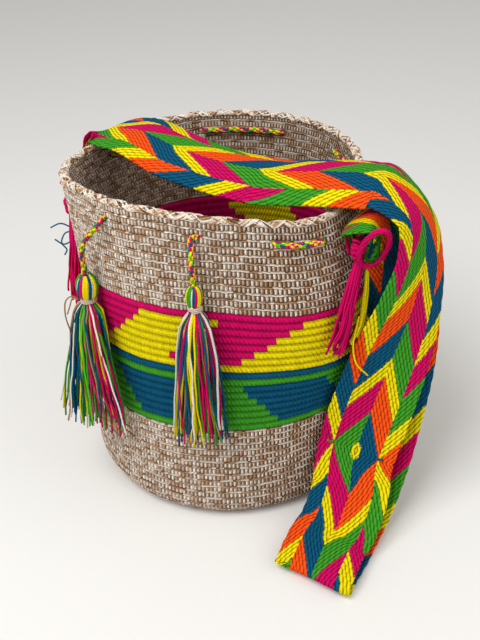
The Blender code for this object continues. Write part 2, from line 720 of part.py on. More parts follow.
def main():
    clear_scene()
    make_bag()
    right_end, left_end = make_drawstring()
    make_strap()
    left_head = (HEAD_RADIUS, HEAD_LENGTH)
    right_head = (RIGHT_HEAD_RADIUS, RIGHT_HEAD_LENGTH)
    make_hanging("left", left_end, EYELET_AZIMUTHS[-1], -149.0, 72.0, 5.0, LEFT_SKIRT_LENGTH, 24.0, left_head,
                 NECK_RADIUS)
    make_hanging("right", right_end, EYELET_AZIMUTHS[0], -100.0, 53.0, -1.0, RIGHT_SKIRT_LENGTH, 0.0, right_head,
                 RIGHT_NECK_RADIUS)
    make_lashings()


main()
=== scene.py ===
# %% [markdown]
# A crocheted bucket bag is nearly all yarn: rows of stitches in the wall, oblique cords in the strap,
# a plait for the drawstring and loose ends in the tassels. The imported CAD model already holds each
# piece's size and place, so this file loads it as a frame and then makes the yarn itself.

# %% Loading the frame
import math

import bpy
import numpy as np
from mathutils import Matrix, Vector


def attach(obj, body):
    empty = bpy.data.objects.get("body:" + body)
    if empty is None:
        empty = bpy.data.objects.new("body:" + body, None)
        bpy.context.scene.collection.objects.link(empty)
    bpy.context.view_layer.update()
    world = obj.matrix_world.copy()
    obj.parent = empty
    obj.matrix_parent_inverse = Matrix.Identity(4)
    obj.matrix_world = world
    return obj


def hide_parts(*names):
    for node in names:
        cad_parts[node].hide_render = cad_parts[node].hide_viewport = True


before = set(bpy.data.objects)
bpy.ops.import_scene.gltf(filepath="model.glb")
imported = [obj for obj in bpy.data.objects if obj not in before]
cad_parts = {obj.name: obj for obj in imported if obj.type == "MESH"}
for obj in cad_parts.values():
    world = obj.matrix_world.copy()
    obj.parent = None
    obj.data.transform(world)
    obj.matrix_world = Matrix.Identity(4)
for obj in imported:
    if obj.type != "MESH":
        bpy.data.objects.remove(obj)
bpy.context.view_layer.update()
MM = 0.001
bpy.ops.object.select_all(action="DESELECT")

# %% [markdown]
# The camera stands in front of the bag, higher than its rim, and looks down at it by about a third of
# a right angle. It also leans a little to one side, as a camera held in the hand does. Its axes are
# written out, because three named directions are easier to check than three turned angles.

# %% Camera
CAMERA_PLACE = Vector((0.0114, -0.7028, 0.600))
CAMERA_PITCH = math.radians(33.8)
CAMERA_ROLL = math.radians(3.3)
FOCAL_PIXELS = 850.0
FRAME_HEIGHT = 640.0
SENSOR = 36.0

ahead = Vector((0.0, math.cos(CAMERA_PITCH), -math.sin(CAMERA_PITCH)))
above = Vector((0.0, math.sin(CAMERA_PITCH), math.cos(CAMERA_PITCH)))
beside = Vector((1.0, 0.0, 0.0))
camera_x = beside * math.cos(CAMERA_ROLL) - above * math.sin(CAMERA_ROLL)
camera_y = beside * math.sin(CAMERA_ROLL) + above * math.cos(CAMERA_ROLL)
turned = Matrix((camera_x, camera_y, -ahead)).transposed().to_4x4()
bpy.ops.object.camera_add()
camera = bpy.context.object
camera.matrix_world = Matrix.Translation(CAMERA_PLACE) @ turned
camera.data.sensor_width = SENSOR
camera.data.lens = FOCAL_PIXELS / FRAME_HEIGHT * SENSOR
bpy.context.scene.camera = camera
print("lens", round(camera.data.lens, 2), "mm")

# %% [markdown]
# The yarns are cotton: five strong dyes, with tan, brown and cream beside them. Each colour was read off
# a screen, so it is made linear before a shader can use it.

# %% Palette of yarns
def from_screen(red, green, blue):
    """A colour as seen on a screen, made linear for a shader."""
    parts = []
    for value in (red, green, blue):
        value /= 255.0
        parts.append(value / 12.92 if value <= 0.04045 else ((value + 0.055) / 1.055) ** 2.4)
    return np.array(parts)


MAGENTA = from_screen(212, 0, 96)
YELLOW = from_screen(240, 220, 0)
GREEN = from_screen(62, 156, 36)
TEAL = from_screen(0, 84, 118)
ORANGE = from_screen(255, 84, 14)
TAN = from_screen(184, 142, 102)
BROWN = from_screen(124, 88, 58)
CREAM = from_screen(244, 235, 222)
print("yarns: 8")

# %% [markdown]
# A material is a tree of nodes. These short helpers fill in a node, start a group of nodes and do one
# step of arithmetic, so that each effect below can be read from top to bottom.

# %% Helpers for nodes
def fill(tree, node, feeds):
    """Put a value or a link into each named input of a node."""
    for key, value in feeds.items():
        if isinstance(value, bpy.types.NodeSocket):
            tree.links.new(value, node.inputs[key])
        else:
            node.inputs[key].default_value = value


def add_node(tree, kind, feeds, **settings):
    """A new node with its settings made and its inputs filled in."""
    node = tree.nodes.new(kind)
    for key, value in settings.items():
        setattr(node, key, value)
    fill(tree, node, feeds)
    return node


def step(tree, operation, *terms):
    """One step of arithmetic on values and sockets."""
    return add_node(tree, "ShaderNodeMath", dict(enumerate(terms)), operation=operation).outputs["Value"]


def scaled(tree, colour, share):
    """A colour made darker or lighter by a share."""
    tint = add_node(tree, "ShaderNodeVectorMath", {0: colour, "Scale": share}, operation="SCALE")
    return tint.outputs["Vector"]


def ramp(tree, value, low, high, darkest, lightest):
    """A value between two limits, turned into a share between two others."""
    feeds = {"Value": value, "From Min": low, "From Max": high, "To Min": darkest, "To Max": lightest}
    return add_node(tree, "ShaderNodeMapRange", feeds).outputs["Result"]


def new_group(name, inputs, outputs):
    """A group of nodes: the group, what it is given and the node that takes its results."""
    group = bpy.data.node_groups.new(name, "ShaderNodeTree")
    for way, sockets in (("INPUT", inputs), ("OUTPUT", outputs)):
        for socket, kind in sockets.items():
            group.interface.new_socket(name=socket, in_out=way, socket_type="NodeSocket" + kind)
    given = add_node(group, "NodeGroupInput", {}).outputs
    return group, given, add_node(group, "NodeGroupOutput", {})


print("helpers for nodes: 6")

# %% [markdown]
# Cotton has no gloss, so its look comes from its colour and its fine fibres. The fibres are the same on
# every piece, and they are built once: a fine noise changes the colour a little and feeds a Bump node.

# %% Fibre group
def make_fibre_group():
    """Fine cotton fibres: a colour that varies a little, and a normal with fuzz."""
    group, given, result = new_group(
        "cotton_fibres", {"Colour": "Color", "Grain": "Float", "Fuzz": "Float", "Height": "Float"},
        {"Colour": "Color", "Normal": "Vector"})
    place = add_node(group, "ShaderNodeTexCoord", {}).outputs["Object"]
    noise = add_node(group, "ShaderNodeTexNoise", {"Vector": place, "Scale": given["Grain"], "Detail": 3.0})
    shade = ramp(group, noise.outputs["Fac"], 0.3, 0.7, 0.78, 1.12)
    rough = step(group, "MULTIPLY_ADD", noise.outputs["Fac"], given["Fuzz"], given["Height"])
    bump = add_node(group, "ShaderNodeBump", {"Strength": 1.0, "Distance": 1.0, "Height": rough})
    fill(group, result, {"Colour": scaled(group, given["Colour"], shade), "Normal": bump.outputs["Normal"]})
    return group


fibres = make_fibre_group()
print("group:", fibres.name)

# %% [markdown]
# The plies of a yarn show as slanted ridges along it. A yarn's own UV map runs once round it and
# counts its length, so a wave on the sum of the two is a spiral. On the crocheted wall the same wave
# runs on stitches and rows.

# %% Relief of twisted plies
def read_chart(tree):
    """The two numbers of the UV map."""
    chart = add_node(tree, "ShaderNodeUVMap", {}, uv_map="UVMap").outputs["UV"]
    return add_node(tree, "ShaderNodeSeparateXYZ", {"Vector": chart}).outputs


def plies(around, along, depth):
    """Ridges of a twist: how many in one round, how many in one length, and their height."""
    def relief(tree, colour):
        chart = read_chart(tree)
        across = step(tree, "MULTIPLY", chart["X"], around)
        phase = step(tree, "MULTIPLY_ADD", chart["Y"], along, across)
        ridge = step(tree, "ABSOLUTE", step(tree, "SINE", step(tree, "MULTIPLY", phase, math.pi)))
        return colour, step(tree, "MULTIPLY", ridge, depth)
    return relief


print("relief of plies ready")

# %% [markdown]
# The strap's cords lie side by side, and each turn of a cord shows as a leaf that leans over its
# neighbour, with painted shade darkening the colour towards the gap where two leaves part. The UV map's
# X counts cords there, and its Y counts turns of the twist. Each point belongs to the leaf that stands
# highest over it.

# %% Relief of laid cords
LEAF_LEAN = 0.14
LEAF_WIDTH = 0.60
LEAF_LENGTH = 0.85


def make_cord_group():
    """Twisted cords side by side: the painted shade of each point, dark in the gaps between leaves, and how
    high it is.
    """
    group, given, result = new_group(
        "twisted_cords", {"Depth": "Float"}, {"Shade": "Float", "Height": "Float"})
    chart = read_chart(group)

    def leaf(index, distance):
        turns = step(group, "MULTIPLY_ADD", index, 0.5, chart["Y"])
        along = step(group, "SUBTRACT", step(group, "FRACT", turns), 0.5)
        leaning = step(group, "MULTIPLY_ADD", along, -LEAF_LEAN, distance)
        across = step(group, "DIVIDE", leaning, LEAF_WIDTH)
        length = step(group, "DIVIDE", along, LEAF_LENGTH)
        squares = step(group, "MULTIPLY_ADD", across, across, step(group, "MULTIPLY", length, length))
        return step(group, "SUBTRACT", 1.0, squares)

    cord = step(group, "FLOOR", chart["X"])
    aside = step(group, "SUBTRACT", step(group, "FRACT", chart["X"]), 0.5)
    way = step(group, "SIGN", aside)
    next_leaf = leaf(step(group, "ADD", cord, way), step(group, "SUBTRACT", aside, way))
    full = step(group, "MAXIMUM", step(group, "MAXIMUM", leaf(cord, aside), next_leaf), 0.0)
    height = step(group, "MULTIPLY", step(group, "SQRT", full), given["Depth"])
    # the Shade output is painted shade: the colour is darkened towards the gaps where the leaves part
    fill(group, result, {"Shade": ramp(group, full, 0.14, 0.78, 0.25, 1.0), "Height": height})
    return group


cord_group = make_cord_group()


def laid_cords(depth):
    """Cords laid side by side, with painted shade in the gaps between the turns of their twist."""
    def relief(tree, colour):
        cords = add_node(tree, "ShaderNodeGroup", {}, node_tree=cord_group)
        fill(tree, cords, {"Depth": depth})
        return scaled(tree, colour, cords.outputs["Shade"]), cords.outputs["Height"]
    return relief


print("group:", cord_group.name)

# %% [markdown]
# Four cottons are needed: looped yarn for the crochet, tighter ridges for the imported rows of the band,
# laid cords for the strap and spun yarn for all that is loose or plaited. They are equally matt.

# %% Yarn materials
ROUGHNESS = 0.85
SHEEN = 0.12


def cotton(name, grain, fuzz, relief):
    """A matt cotton whose colour comes from the piece's own yarn_colour attribute."""
    material = bpy.data.materials.new(name)
    material.use_nodes = True
    tree = material.node_tree
    own = add_node(tree, "ShaderNodeAttribute", {}, attribute_name="yarn_colour").outputs["Color"]
    colour, height = relief(tree, own)
    spun = add_node(tree, "ShaderNodeGroup", {}, node_tree=fibres)
    fill(tree, spun, {"Colour": colour, "Grain": grain, "Fuzz": fuzz, "Height": height})
    shader = tree.nodes["Principled BSDF"]
    shader.inputs["Roughness"].default_value = ROUGHNESS
    shader.inputs["Specular IOR Level"].default_value = SHEEN
    fill(tree, shader, {"Base Color": spun.outputs["Colour"], "Normal": spun.outputs["Normal"]})
    return material


crochet_cotton = cotton("crochet_cotton", 900.0, 0.0005, plies(2.0, 3.0, 0.0003))
packed_cotton = cotton("packed_cotton", 900.0, 0.0005, plies(1.0, 1.0, 0.0008))
# the strap's cotton darkens its colour with painted shade in the gaps between its cords
woven_cotton = cotton("woven_cotton", 900.0, 0.0005, laid_cords(0.0014))
spun_cotton = cotton("spun_cotton", 1100.0, 0.0003, plies(2.0, 2.0, 0.0004))
print("materials:", crochet_cotton.name, packed_cotton.name, woven_cotton.name, spun_cotton.name)

# %% [markdown]
# Every other place on the bag is found from its wall, so the wall's form comes first, with the same
# sizes as in the CAD model: a round base, a rounded corner, rows of stitches up to a rim that dips
# where the strap pulls at it and stands up at the front left.

# %% The wall's form
BAG_HEIGHT = 297.0
BASE_RADIUS = 141.0
MOUTH_RADIUS = 126.0
CORNER_RADIUS = 20.0
WALL_THICKNESS = 5.0
MOUTH_SHIFT = 3.0
BULGE = 22.0
BULGE_AZIMUTH = -48.0
BULGE_WIDTH = 32.0
BULGE_START = 0.12
BULGE_SPAN = 1.02
CORNER = 13.0
CORNER_AZIMUTH = 180.0
CORNER_WIDTH = 22.0
RIM_DIP = 12.0
RIM_DIP_WIDTH = 28.0
RIM_RISE = 11.0
RIM_RISE_AZIMUTH = -120.0
RIM_RISE_WIDTH = 45.0
CORNER_ROWS = 4
WALL_ROWS = 40


def hump(azimuth, centre, width):
    """A smooth hump of height 1 round one azimuth, in degrees."""
    turn = (azimuth - centre + 180.0) % 360.0 - 180.0
    return np.exp(-(turn / width) ** 2)


def rim_height(azimuth):
    """Height of the rim in millimetres."""
    dip = RIM_DIP * hump(azimuth, BULGE_AZIMUTH, RIM_DIP_WIDTH)
    return BAG_HEIGHT - dip + RIM_RISE * hump(azimuth, RIM_RISE_AZIMUTH, RIM_RISE_WIDTH)


def wall_radius(azimuth, share):
    """Outer radius at a share of the height above the rounded corner."""
    radius = MOUTH_RADIUS + (BASE_RADIUS - MOUTH_RADIUS) * (1.0 - share) ** 2
    wave = np.sin(np.pi * (share - BULGE_START) / BULGE_SPAN) ** 2
    belly = np.where(share > BULGE_START, wave, 0.0)
    radius = radius + BULGE * belly * hump(azimuth, BULGE_AZIMUTH, BULGE_WIDTH)
    return radius + CORNER * share ** 1.5 * hump(azimuth, CORNER_AZIMUTH, CORNER_WIDTH)


print("rim from", round(float(rim_height(-48.0)), 1), "to", round(float(rim_height(-120.0)), 1), "mm")

# %% [markdown]
# Any place on the wall is named by its azimuth, its row of stitches and its distance out. The rows at
# the rounded corner turn with it, and those above share out the height, which differs round the rim.

# %% Places on the wall
def wall_point(azimuth, row, offset=0.0):
    """Points in millimetres, by azimuth, row above the base's edge and distance out from the wall."""
    azimuth, row, offset = np.broadcast_arrays(np.asarray(azimuth, float), row, offset)
    angle = np.radians(azimuth)
    bend = np.radians(90.0) * np.clip(row, 0.0, CORNER_ROWS) / CORNER_ROWS
    share = np.maximum((row - CORNER_ROWS) / WALL_ROWS, 0.0)
    low = row < CORNER_ROWS
    curved = BASE_RADIUS - CORNER_RADIUS + (CORNER_RADIUS + offset) * np.sin(bend)
    radius = np.where(low, curved, wall_radius(azimuth, share) + offset)
    rising = CORNER_RADIUS + share * (BAG_HEIGHT - CORNER_RADIUS)
    rising = rising + share ** 2 * (rim_height(azimuth) - BAG_HEIGHT)
    height = np.where(low, CORNER_RADIUS - (CORNER_RADIUS + offset) * np.cos(bend), rising)
    along_y = radius * np.sin(angle) + MOUTH_SHIFT * share
    return np.stack((radius * np.cos(angle), along_y, height), axis=-1)


def row_at(azimuth, height):
    """The row that lies at a height of the wall."""
    span = BAG_HEIGHT - CORNER_RADIUS
    root = np.sqrt(span ** 2 + 4.0 * (rim_height(azimuth) - BAG_HEIGHT) * (height - CORNER_RADIUS))
    return CORNER_ROWS + WALL_ROWS * 2.0 * (height - CORNER_RADIUS) / (span + root)


def by_wall(azimuth, drop, stand_off):
    """A point beside the wall: so far below the rim, so far out from the mean outer face."""
    return wall_point(azimuth, row_at(azimuth, rim_height(azimuth) - drop), stand_off)


def outward(azimuth):
    """Unit vector straight out from the wall."""
    return np.array((math.cos(math.radians(azimuth)), math.sin(math.radians(azimuth)), 0.0))


def sideways(azimuth):
    """Unit vector along the wall, anticlockwise from above."""
    return np.array((-math.sin(math.radians(azimuth)), math.cos(math.radians(azimuth)), 0.0))


print("wall at the front, 50 mm below the rim:", by_wall(-90.0, 50.0, 0.0).round(1), "mm")

# %% [markdown]
# The wall and the strap are both skins of small ridges. Each is a plain grid that is bent into shape:
# the grid gives the faces and a UV map, each point of it is then put in its place, and where the
# bent grid meets itself its edges are merged. A colour goes on each face, as each loop of yarn has one,
# and on the wall that colour also holds painted shade.

# %% Bending a grid into a closed skin
def lay_skin(name, points, tints, chart, material):
    """A closed skin from points (rings, columns, 3) in mm, tints per face and a chart of UVs."""
    rings, columns = points.shape[:2]
    bpy.ops.mesh.primitive_grid_add(x_subdivisions=columns, y_subdivisions=rings - 1, size=1.0)
    skin = bpy.context.object
    skin.name = name
    mesh = skin.data
    mesh.name = name
    closed = np.concatenate((points, points[:, :1]), axis=1) * MM
    mesh.vertices.foreach_set("co", closed.astype(np.float32).ravel())
    corners = np.empty(len(mesh.loops), np.int32)
    mesh.loops.foreach_get("vertex_index", corners)
    mesh.uv_layers[0].data.foreach_set("uv", chart.reshape(-1, 2)[corners].astype(np.float32).ravel())
    mesh.uv_layers[0].name = "UVMap"
    first = corners.reshape(-1, 4).min(axis=1)
    ring, column = first // (columns + 1), first % (columns + 1)
    shades = np.ones((len(first), 4), np.float32)
    shades[:, :3] = tints[ring, column]
    layer = mesh.color_attributes.new("yarn_colour", "FLOAT_COLOR", "CORNER")
    layer.data.foreach_set("color", np.repeat(shades, 4, axis=0).ravel())
    mesh.materials.clear()
    mesh.materials.append(material)
    bpy.ops.object.mode_set(mode="EDIT")
    bpy.ops.mesh.select_all(action="SELECT")
    bpy.ops.mesh.remove_doubles(threshold=0.00001)
    bpy.ops.mesh.normals_make_consistent(inside=False)
    bpy.ops.object.mode_set(mode="OBJECT")
    bpy.ops.object.shade_smooth()
    skin.select_set(False)
    print(name, len(mesh.polygons) * 2, "triangles")
    return skin


# %% [markdown]
# The wall is crocheted in the round. Above and below the band the yarn is two plies, cream and brown,
# and each stitch shows an upright post and, over it, a loop that lies along the row. In the band the
# stitches are packed so closely that each row is one low ridge. The posts, loops and ridges are real
# shapes here, because they catch the light from every side.

# %% Stitches of the wall
STITCHES = 236
STITCH_COLUMNS = 3
# where a stitch's gap ends and where its lighter ply ends, in shares of the stitch
COLUMN_PLACES = np.array((0.0, 0.20, 0.62))
COLUMNS = STITCHES * STITCH_COLUMNS
top_row = CORNER_ROWS + WALL_ROWS
BAND_TOP = 32.7
BAND_ROWS = 17
ROWS_ABOVE = 12
ROWS_BELOW = 16
# the rows run lower at the back than at the front, by this many rows at half height
ROW_SLOPE = 2.3
# where each motif begins in its top row, how far it shifts a row and how long it is, in degrees
YELLOW_STARTS = (-124.5, -64.8, -4.5, 55.5, 115.5, 175.5)
YELLOW_STEP = -4.0
YELLOW_LENGTH = 32.0
TEAL_STARTS = (-140.5, -85.8, -24.4, 35.6, 95.6, 155.6)
TEAL_STEP = 2.5
TEAL_LENGTH = 30.5
EYELET_DROP = 15.0
EYELETS = (-98.0, -71.0, -52.0, -24.0, -5.0, 24.0, 57.0, 98.0, 120.0, 147.0, 180.0, 221.5)

# share of the row, depth of the gap, depth of the post
POST_PROFILE = ((0.0, -0.9, -0.6), (0.09, -0.7, 0.5), (0.40, -0.6, 1.0), (0.71, -0.6, 0.7),
                (0.81, 0.2, 0.5), (0.93, 0.4, 0.7))
RIDGE_PROFILE = ((0.0, -1.0, -0.9), (0.20, 0.0, 0.4), (0.5, 0.5, 1.0), (0.80, 0.1, 0.5))
# painted shade of each face of a ridge: dark in the groove, full on the ridge
RIDGE_PAINTED_SHADES = (0.45, 0.95, 1.0, 0.75)
# on the inner face: share of the row from its top, depths of gap and post, number of the tint and its painted
# shade
PLAIN_INSIDE = ((0.1, -0.5, -0.3, 2, 1.0), (0.55, 0.2, 0.6, 1, 0.6))
MARLED_INSIDE = ((0.06, -0.7, -0.5, 2, 0.9), (0.50, -0.6, 0.6, 3, 0.9), (0.66, -0.2, 0.3, 4, 1.0),
                 (0.84, -0.4, 0.0, 5, 0.7))
POST_SHARE = np.array((0.0, 1.0, 0.75))
column_stitch = np.arange(COLUMNS) // STITCH_COLUMNS
column_azimuth = 360.0 * (column_stitch + COLUMN_PLACES[np.arange(COLUMNS) % STITCH_COLUMNS]) / STITCHES
drawn = np.random.default_rng(11)
print(STITCHES, "stitches a round,", COLUMNS, "points")

# %% [markdown]
# No two stitches made by hand are alike. Slow waves make whole stretches of a row rise and fall, and
# each stitch has its own small depth. The rows also run lower at the back, and at each eyelet the
# drawstring pushes the stitches apart.

# %% One ring of stitches
EYELET_HALF_WIDTH = 5.5
EYELET_HALF_HEIGHT = 3.2
ROW_HEIGHT = 7.0
# how many slow waves are added up, and what their sum is divided by
WAVES = 7
WAVE_SHARE = 3.5


def smooth_waves(azimuth, row, seed):
    """Slow unevenness of hand work, about -1 to 1, the same for each run."""
    draw = np.random.default_rng(seed)
    total = 0.0
    for _ in range(WAVES):
        turns = draw.integers(2, 12)
        rows = draw.uniform(-0.35, 0.35)
        total = total + np.sin(np.radians(azimuth) * turns + row * rows + draw.uniform(0.0, math.tau))
    return total / WAVE_SHARE


def eyelet_dent(azimuth, row):
    """1 in the gap at each eyelet, where the stitches are pushed apart, and 0 away from it."""
    dent = np.zeros(np.broadcast(azimuth, row).shape)
    for centre in EYELETS:
        middle = row_at(centre, rim_height(centre) - EYELET_DROP)
        turn = (azimuth - centre + 180.0) % 360.0 - 180.0
        aside = turn * math.radians(MOUTH_RADIUS) / EYELET_HALF_WIDTH
        over = (row - middle) * ROW_HEIGHT / EYELET_HALF_HEIGHT
        dent = np.maximum(dent, np.exp(-aside ** 2 - over ** 2))
    return dent


def stitch_ring(row, gap, post, shift, inside=False):
    """One ring of the wall, with its posts standing proud of the gaps between them."""
    turned = POST_SHARE[np.arange(COLUMNS) % STITCH_COLUMNS]
    depth = gap + (post - gap) * turned
    uneven = smooth_waves(column_azimuth, row, 5)
    # each row draws its own numbers, so that both its faces and all its rings agree
    own = np.random.default_rng(int(row + 0.05) + 100).uniform(-1.0, 1.0, (2, STITCHES))
    own = np.repeat(own, STITCH_COLUMNS, axis=1) * abs(shift)
    depth = depth + 0.22 * own[0]
    at = row + 0.13 * smooth_waves(column_azimuth, row, 6) * min(1.0, max(row, 0.0) / 6.0)
    at = at + 0.07 * own[1]
    falling = ROW_SLOPE * math.sin(math.pi * min(max(row / top_row, 0.0), 1.0))
    at = at - falling * 0.5 * (1.0 + np.sin(np.radians(column_azimuth)))
    dent = eyelet_dent(column_azimuth, row)
    if inside:
        offset = -WALL_THICKNESS - depth + 1.6 * dent
    else:
        offset = depth + 0.45 * uneven - 2.2 * dent
    return wall_point(column_azimuth, at, offset)


print("one row rises and falls by", round(float(np.ptp(stitch_ring(20.0, 0.0, 0.0, 1)[:, 2])), 1), "mm")

# %% [markdown]
# The marled yarn is a cream ply twisted with a brown one, so the cream comes to the front for a few
# stitches and then sinks behind. The posts are cream beside tan, with the brown gaps between them
# darkened by painted shade, and a paler loop lies over them along the row. Painted shade also darkens
# each row's groove, the painted shadow under its loop and the loop's upper edge.

# %% Colours of the marled rows
# where the groove, the posts, the shadow over them and the front of the loop end, in shares of a row
GROOVE_END = 0.05
POST_END = 0.70
SHADOW_END = 0.78
LOOP_END = 0.90


def runs(count, shortest, longest):
    """True and False in stretches, as the cream ply shows over and then under."""
    flags = []
    state = bool(drawn.integers(0, 2))
    while len(flags) < count:
        flags += [state] * int(drawn.integers(shortest, longest))
        state = not state
    return np.array(flags[:count])


def mixed(first, second, share):
    """Two yarn colours mixed by a share for each place."""
    return first + (second - first) * np.clip(share, 0.0, 1.0)[:, None]


def marl_and_painted_shade(profile):
    """Colours of one marled row: posts of cream beside tan, brown with painted shade between, a loop over
    them, and painted shade in the groove and under the loop.
    """
    proud = np.where(runs(STITCHES, 1, 5), 0.85, 0.25) + drawn.uniform(-0.35, 0.35, STITCHES)
    loop = np.where(runs(STITCHES, 1, 7), 1.0, 0.15) + drawn.uniform(-0.25, 0.25, STITCHES)
    other = drawn.uniform(0.0, 1.0, STITCHES)
    part = np.arange(COLUMNS) % STITCH_COLUMNS
    tints = np.zeros((len(profile), COLUMNS, 3))
    for k, (share, _, _) in enumerate(profile):
        # the groove between rows: brown ply darkened with painted shade
        if share < GROOVE_END:
            tints[k] = mixed(0.7 * BROWN, TAN, 0.6 * other[column_stitch])
        elif share < POST_END:
            light = mixed(TAN, CREAM, proud[column_stitch] + drawn.uniform(0.0, 0.3))
            dark = mixed(BROWN, 0.5 * (TAN + CREAM), 0.15 + 0.8 * other[column_stitch] * proud[column_stitch])
            tints[k] = np.where((part == 1)[:, None], light, dark)
            # the gap between posts: brown ply darkened with painted shade
            tints[k][part == 0] = 0.7 * BROWN
        # painted shadow under the loop
        elif share < SHADOW_END:
            tints[k] = mixed(0.8 * BROWN, TAN, other[column_stitch])
        elif share < LOOP_END:
            tints[k] = mixed(TAN, CREAM, loop[column_stitch])
        # the loop's upper edge, darkened towards the groove with painted shade
        else:
            tints[k] = mixed(0.85 * BROWN, CREAM, 0.6 * loop[column_stitch])
    jitter = drawn.uniform(0.84, 1.12, (len(profile), STITCHES))
    return tints * np.repeat(jitter, STITCH_COLUMNS, axis=1)[:, :, None]


print("cream:", CREAM.round(2), "brown:", BROWN.round(2))

# %% [markdown]
# The band has six yellow motifs on magenta and, below two plain rows, six teal ones on green. Each row
# of a motif starts a little further round than the one above it, which gives the slanted ends.

# %% Colours of the band
def in_motif(azimuth, starts, shift, length):
    """Whether each azimuth of a row lies in one of the motifs."""
    inside = np.zeros(len(azimuth), bool)
    for start in starts:
        inside |= (azimuth - start - shift) % 360.0 < length
    return inside[:, None]


def band_tint(number, azimuth):
    """The band's yarn at each azimuth of one row, counted down from the band's top."""
    plain = np.ones((len(azimuth), 1))
    if number == 1:
        return plain * MAGENTA
    if number <= 7:
        inside = in_motif(azimuth, YELLOW_STARTS, YELLOW_STEP * (number - 2), YELLOW_LENGTH)
        return np.where(inside, YELLOW, MAGENTA)
    if number == 8:
        return plain * YELLOW
    if number == 9:
        return plain * TEAL
    if number in (10, BAND_ROWS):
        return plain * GREEN
    inside = in_motif(azimuth, TEAL_STARTS, TEAL_STEP * (number - 11), TEAL_LENGTH)
    return np.where(inside, TEAL, GREEN)


print("rows of the band:", BAND_ROWS)

# %% [markdown]
# The wall is made as three skins that meet at the band's edges, each with an outer and an inner face.
# The lower edges of the upper two reach into the piece below as a tongue, so that no light shows
# between the pieces.

# %% Rows of a piece of the wall
TONGUE_DROP = 0.3
TONGUE_DEPTH = -2.0


class Section:
    """The rings of a piece of the wall in order, with a colour for each face after a ring."""

    def __init__(self):
        self.rings = []
        self.tints = []
        self.rows = []

    def add(self, ring, tint, row):
        self.rings.append(ring)
        self.tints.append(np.broadcast_to(tint, (COLUMNS, 3)))
        self.rows.append(row)

    def build(self, name, material=crochet_cotton):
        chart = np.zeros((len(self.rings), COLUMNS + 1, 2))
        chart[:, :, 0] = np.arange(COLUMNS + 1) / STITCH_COLUMNS
        chart[:, :, 1] = np.array(self.rows)[:, None]
        return lay_skin(name, np.array(self.rings), np.array(self.tints[:-1]), chart, material)


def add_outside(section, low, pitch, profile, tints, shift):
    """One row of stitches on the outer face, from its groove upwards."""
    for k, (share, gap, post) in enumerate(profile):
        section.add(stitch_ring(low + share * pitch, gap, post, shift), tints[k], low + share * pitch)


def add_inside(section, high, pitch, tints, shift, profile=PLAIN_INSIDE):
    """The same row on the inner face, from its top downwards."""
    for share, gap, post, number, shade in profile:
        at = high - share * pitch
        # the tint is darkened by painted shade in the inner face's grooves
        section.add(stitch_ring(at, gap, post, shift, True), shade * tints[number], at)


def start_tongue(section, low, colour):
    """The outer edge of the tongue, where a piece begins."""
    section.add(stitch_ring(low - TONGUE_DROP, TONGUE_DEPTH, TONGUE_DEPTH, 0), colour, low)


def close_tongue(section, low, colour):
    """The inner edge of the tongue, closed with the ring that the piece began with."""
    section.add(stitch_ring(low, -0.5, -0.5, 0, True), colour, low)
    section.add(stitch_ring(low - TONGUE_DROP, TONGUE_DEPTH, TONGUE_DEPTH, 0, True), colour, low)
    section.add(section.rings[0], colour, low)


print("tongue:", -TONGUE_DEPTH, "mm under the face")

# %% [markdown]
# The rows above the band carry the eyelets and end at the rim. Their inner face is seen from above
# across the mouth, so it shows the same marled stitches as the outer one.

# %% Upper wall
above_pitch = (top_row - BAND_TOP) / ROWS_ABOVE
upper_tints = [marl_and_painted_shade(POST_PROFILE) for _ in range(ROWS_ABOVE)]
upper = Section()
start_tongue(upper, BAND_TOP, BROWN)
for k in range(ROWS_ABOVE):
    add_outside(upper, BAND_TOP + k * above_pitch, above_pitch, POST_PROFILE, upper_tints[k], 1)
upper.add(stitch_ring(top_row - 0.05, 0.0, 0.0, 0), TAN, top_row)
upper.add(stitch_ring(top_row + 0.15, -2.5, -2.5, 0), TAN, top_row + 0.2)
for k in reversed(range(ROWS_ABOVE)):
    add_inside(upper, BAND_TOP + (k + 1) * above_pitch, above_pitch, upper_tints[k], 1, MARLED_INSIDE)
close_tongue(upper, BAND_TOP, BROWN)
wall_above = upper.build("wall_above_band")

# %% [markdown]
# The band is worked in packed rows of plain colours. Every stitch is a little lighter or darker than
# the next one, and each row's colour carries painted shade: dark in its groove and light on its ridge.

# %% Band
band = Section()
band_tints = []
stitch_azimuth = 360.0 * (column_stitch + 0.5) / STITCHES
for k in range(BAND_ROWS):
    tint = band_tint(BAND_ROWS - k, stitch_azimuth)
    jitter = np.repeat(drawn.uniform(0.9, 1.06, STITCHES), STITCH_COLUMNS)[:, None]
    # each face of a row gets the row's yarn colour times its painted shade
    band_tints.append([tint * jitter * shade for shade in RIDGE_PAINTED_SHADES])
band_low = BAND_TOP - BAND_ROWS
start_tongue(band, band_low, band_tints[0][0])
for k in range(BAND_ROWS):
    add_outside(band, band_low + k, 1.0, RIDGE_PROFILE, band_tints[k], 0.4)
band.add(stitch_ring(BAND_TOP, -0.9, -0.8, 0), band_tints[-1][0], BAND_TOP)
for k in reversed(range(BAND_ROWS)):
    add_inside(band, band_low + k + 1.0, 1.0, band_tints[k], 0.4)
close_tongue(band, band_low, band_tints[0][0])
wall_band = band.build("wall_band", packed_cotton)

# %% [markdown]
# The base is crocheted first, in rounds from its middle, and the wall grows out of it. Here the base is
# a disc in magenta under and inside the lower wall, with low rounds on its upper face.

# %% Lower wall and base
BASE_ROUND = 20.0
# the first row turns from the base into the wall, and has no stitches of its own
CORNER_PROFILE = ((0.0, 0.0, 0.0), (0.5, 0.0, 0.0))
lower = Section()


def disc_ring(radius, height):
    """One round of the base."""
    angle = np.radians(column_azimuth)
    flat = np.full(COLUMNS, float(height))
    return np.stack((radius * np.cos(angle), radius * np.sin(angle), flat), axis=-1)


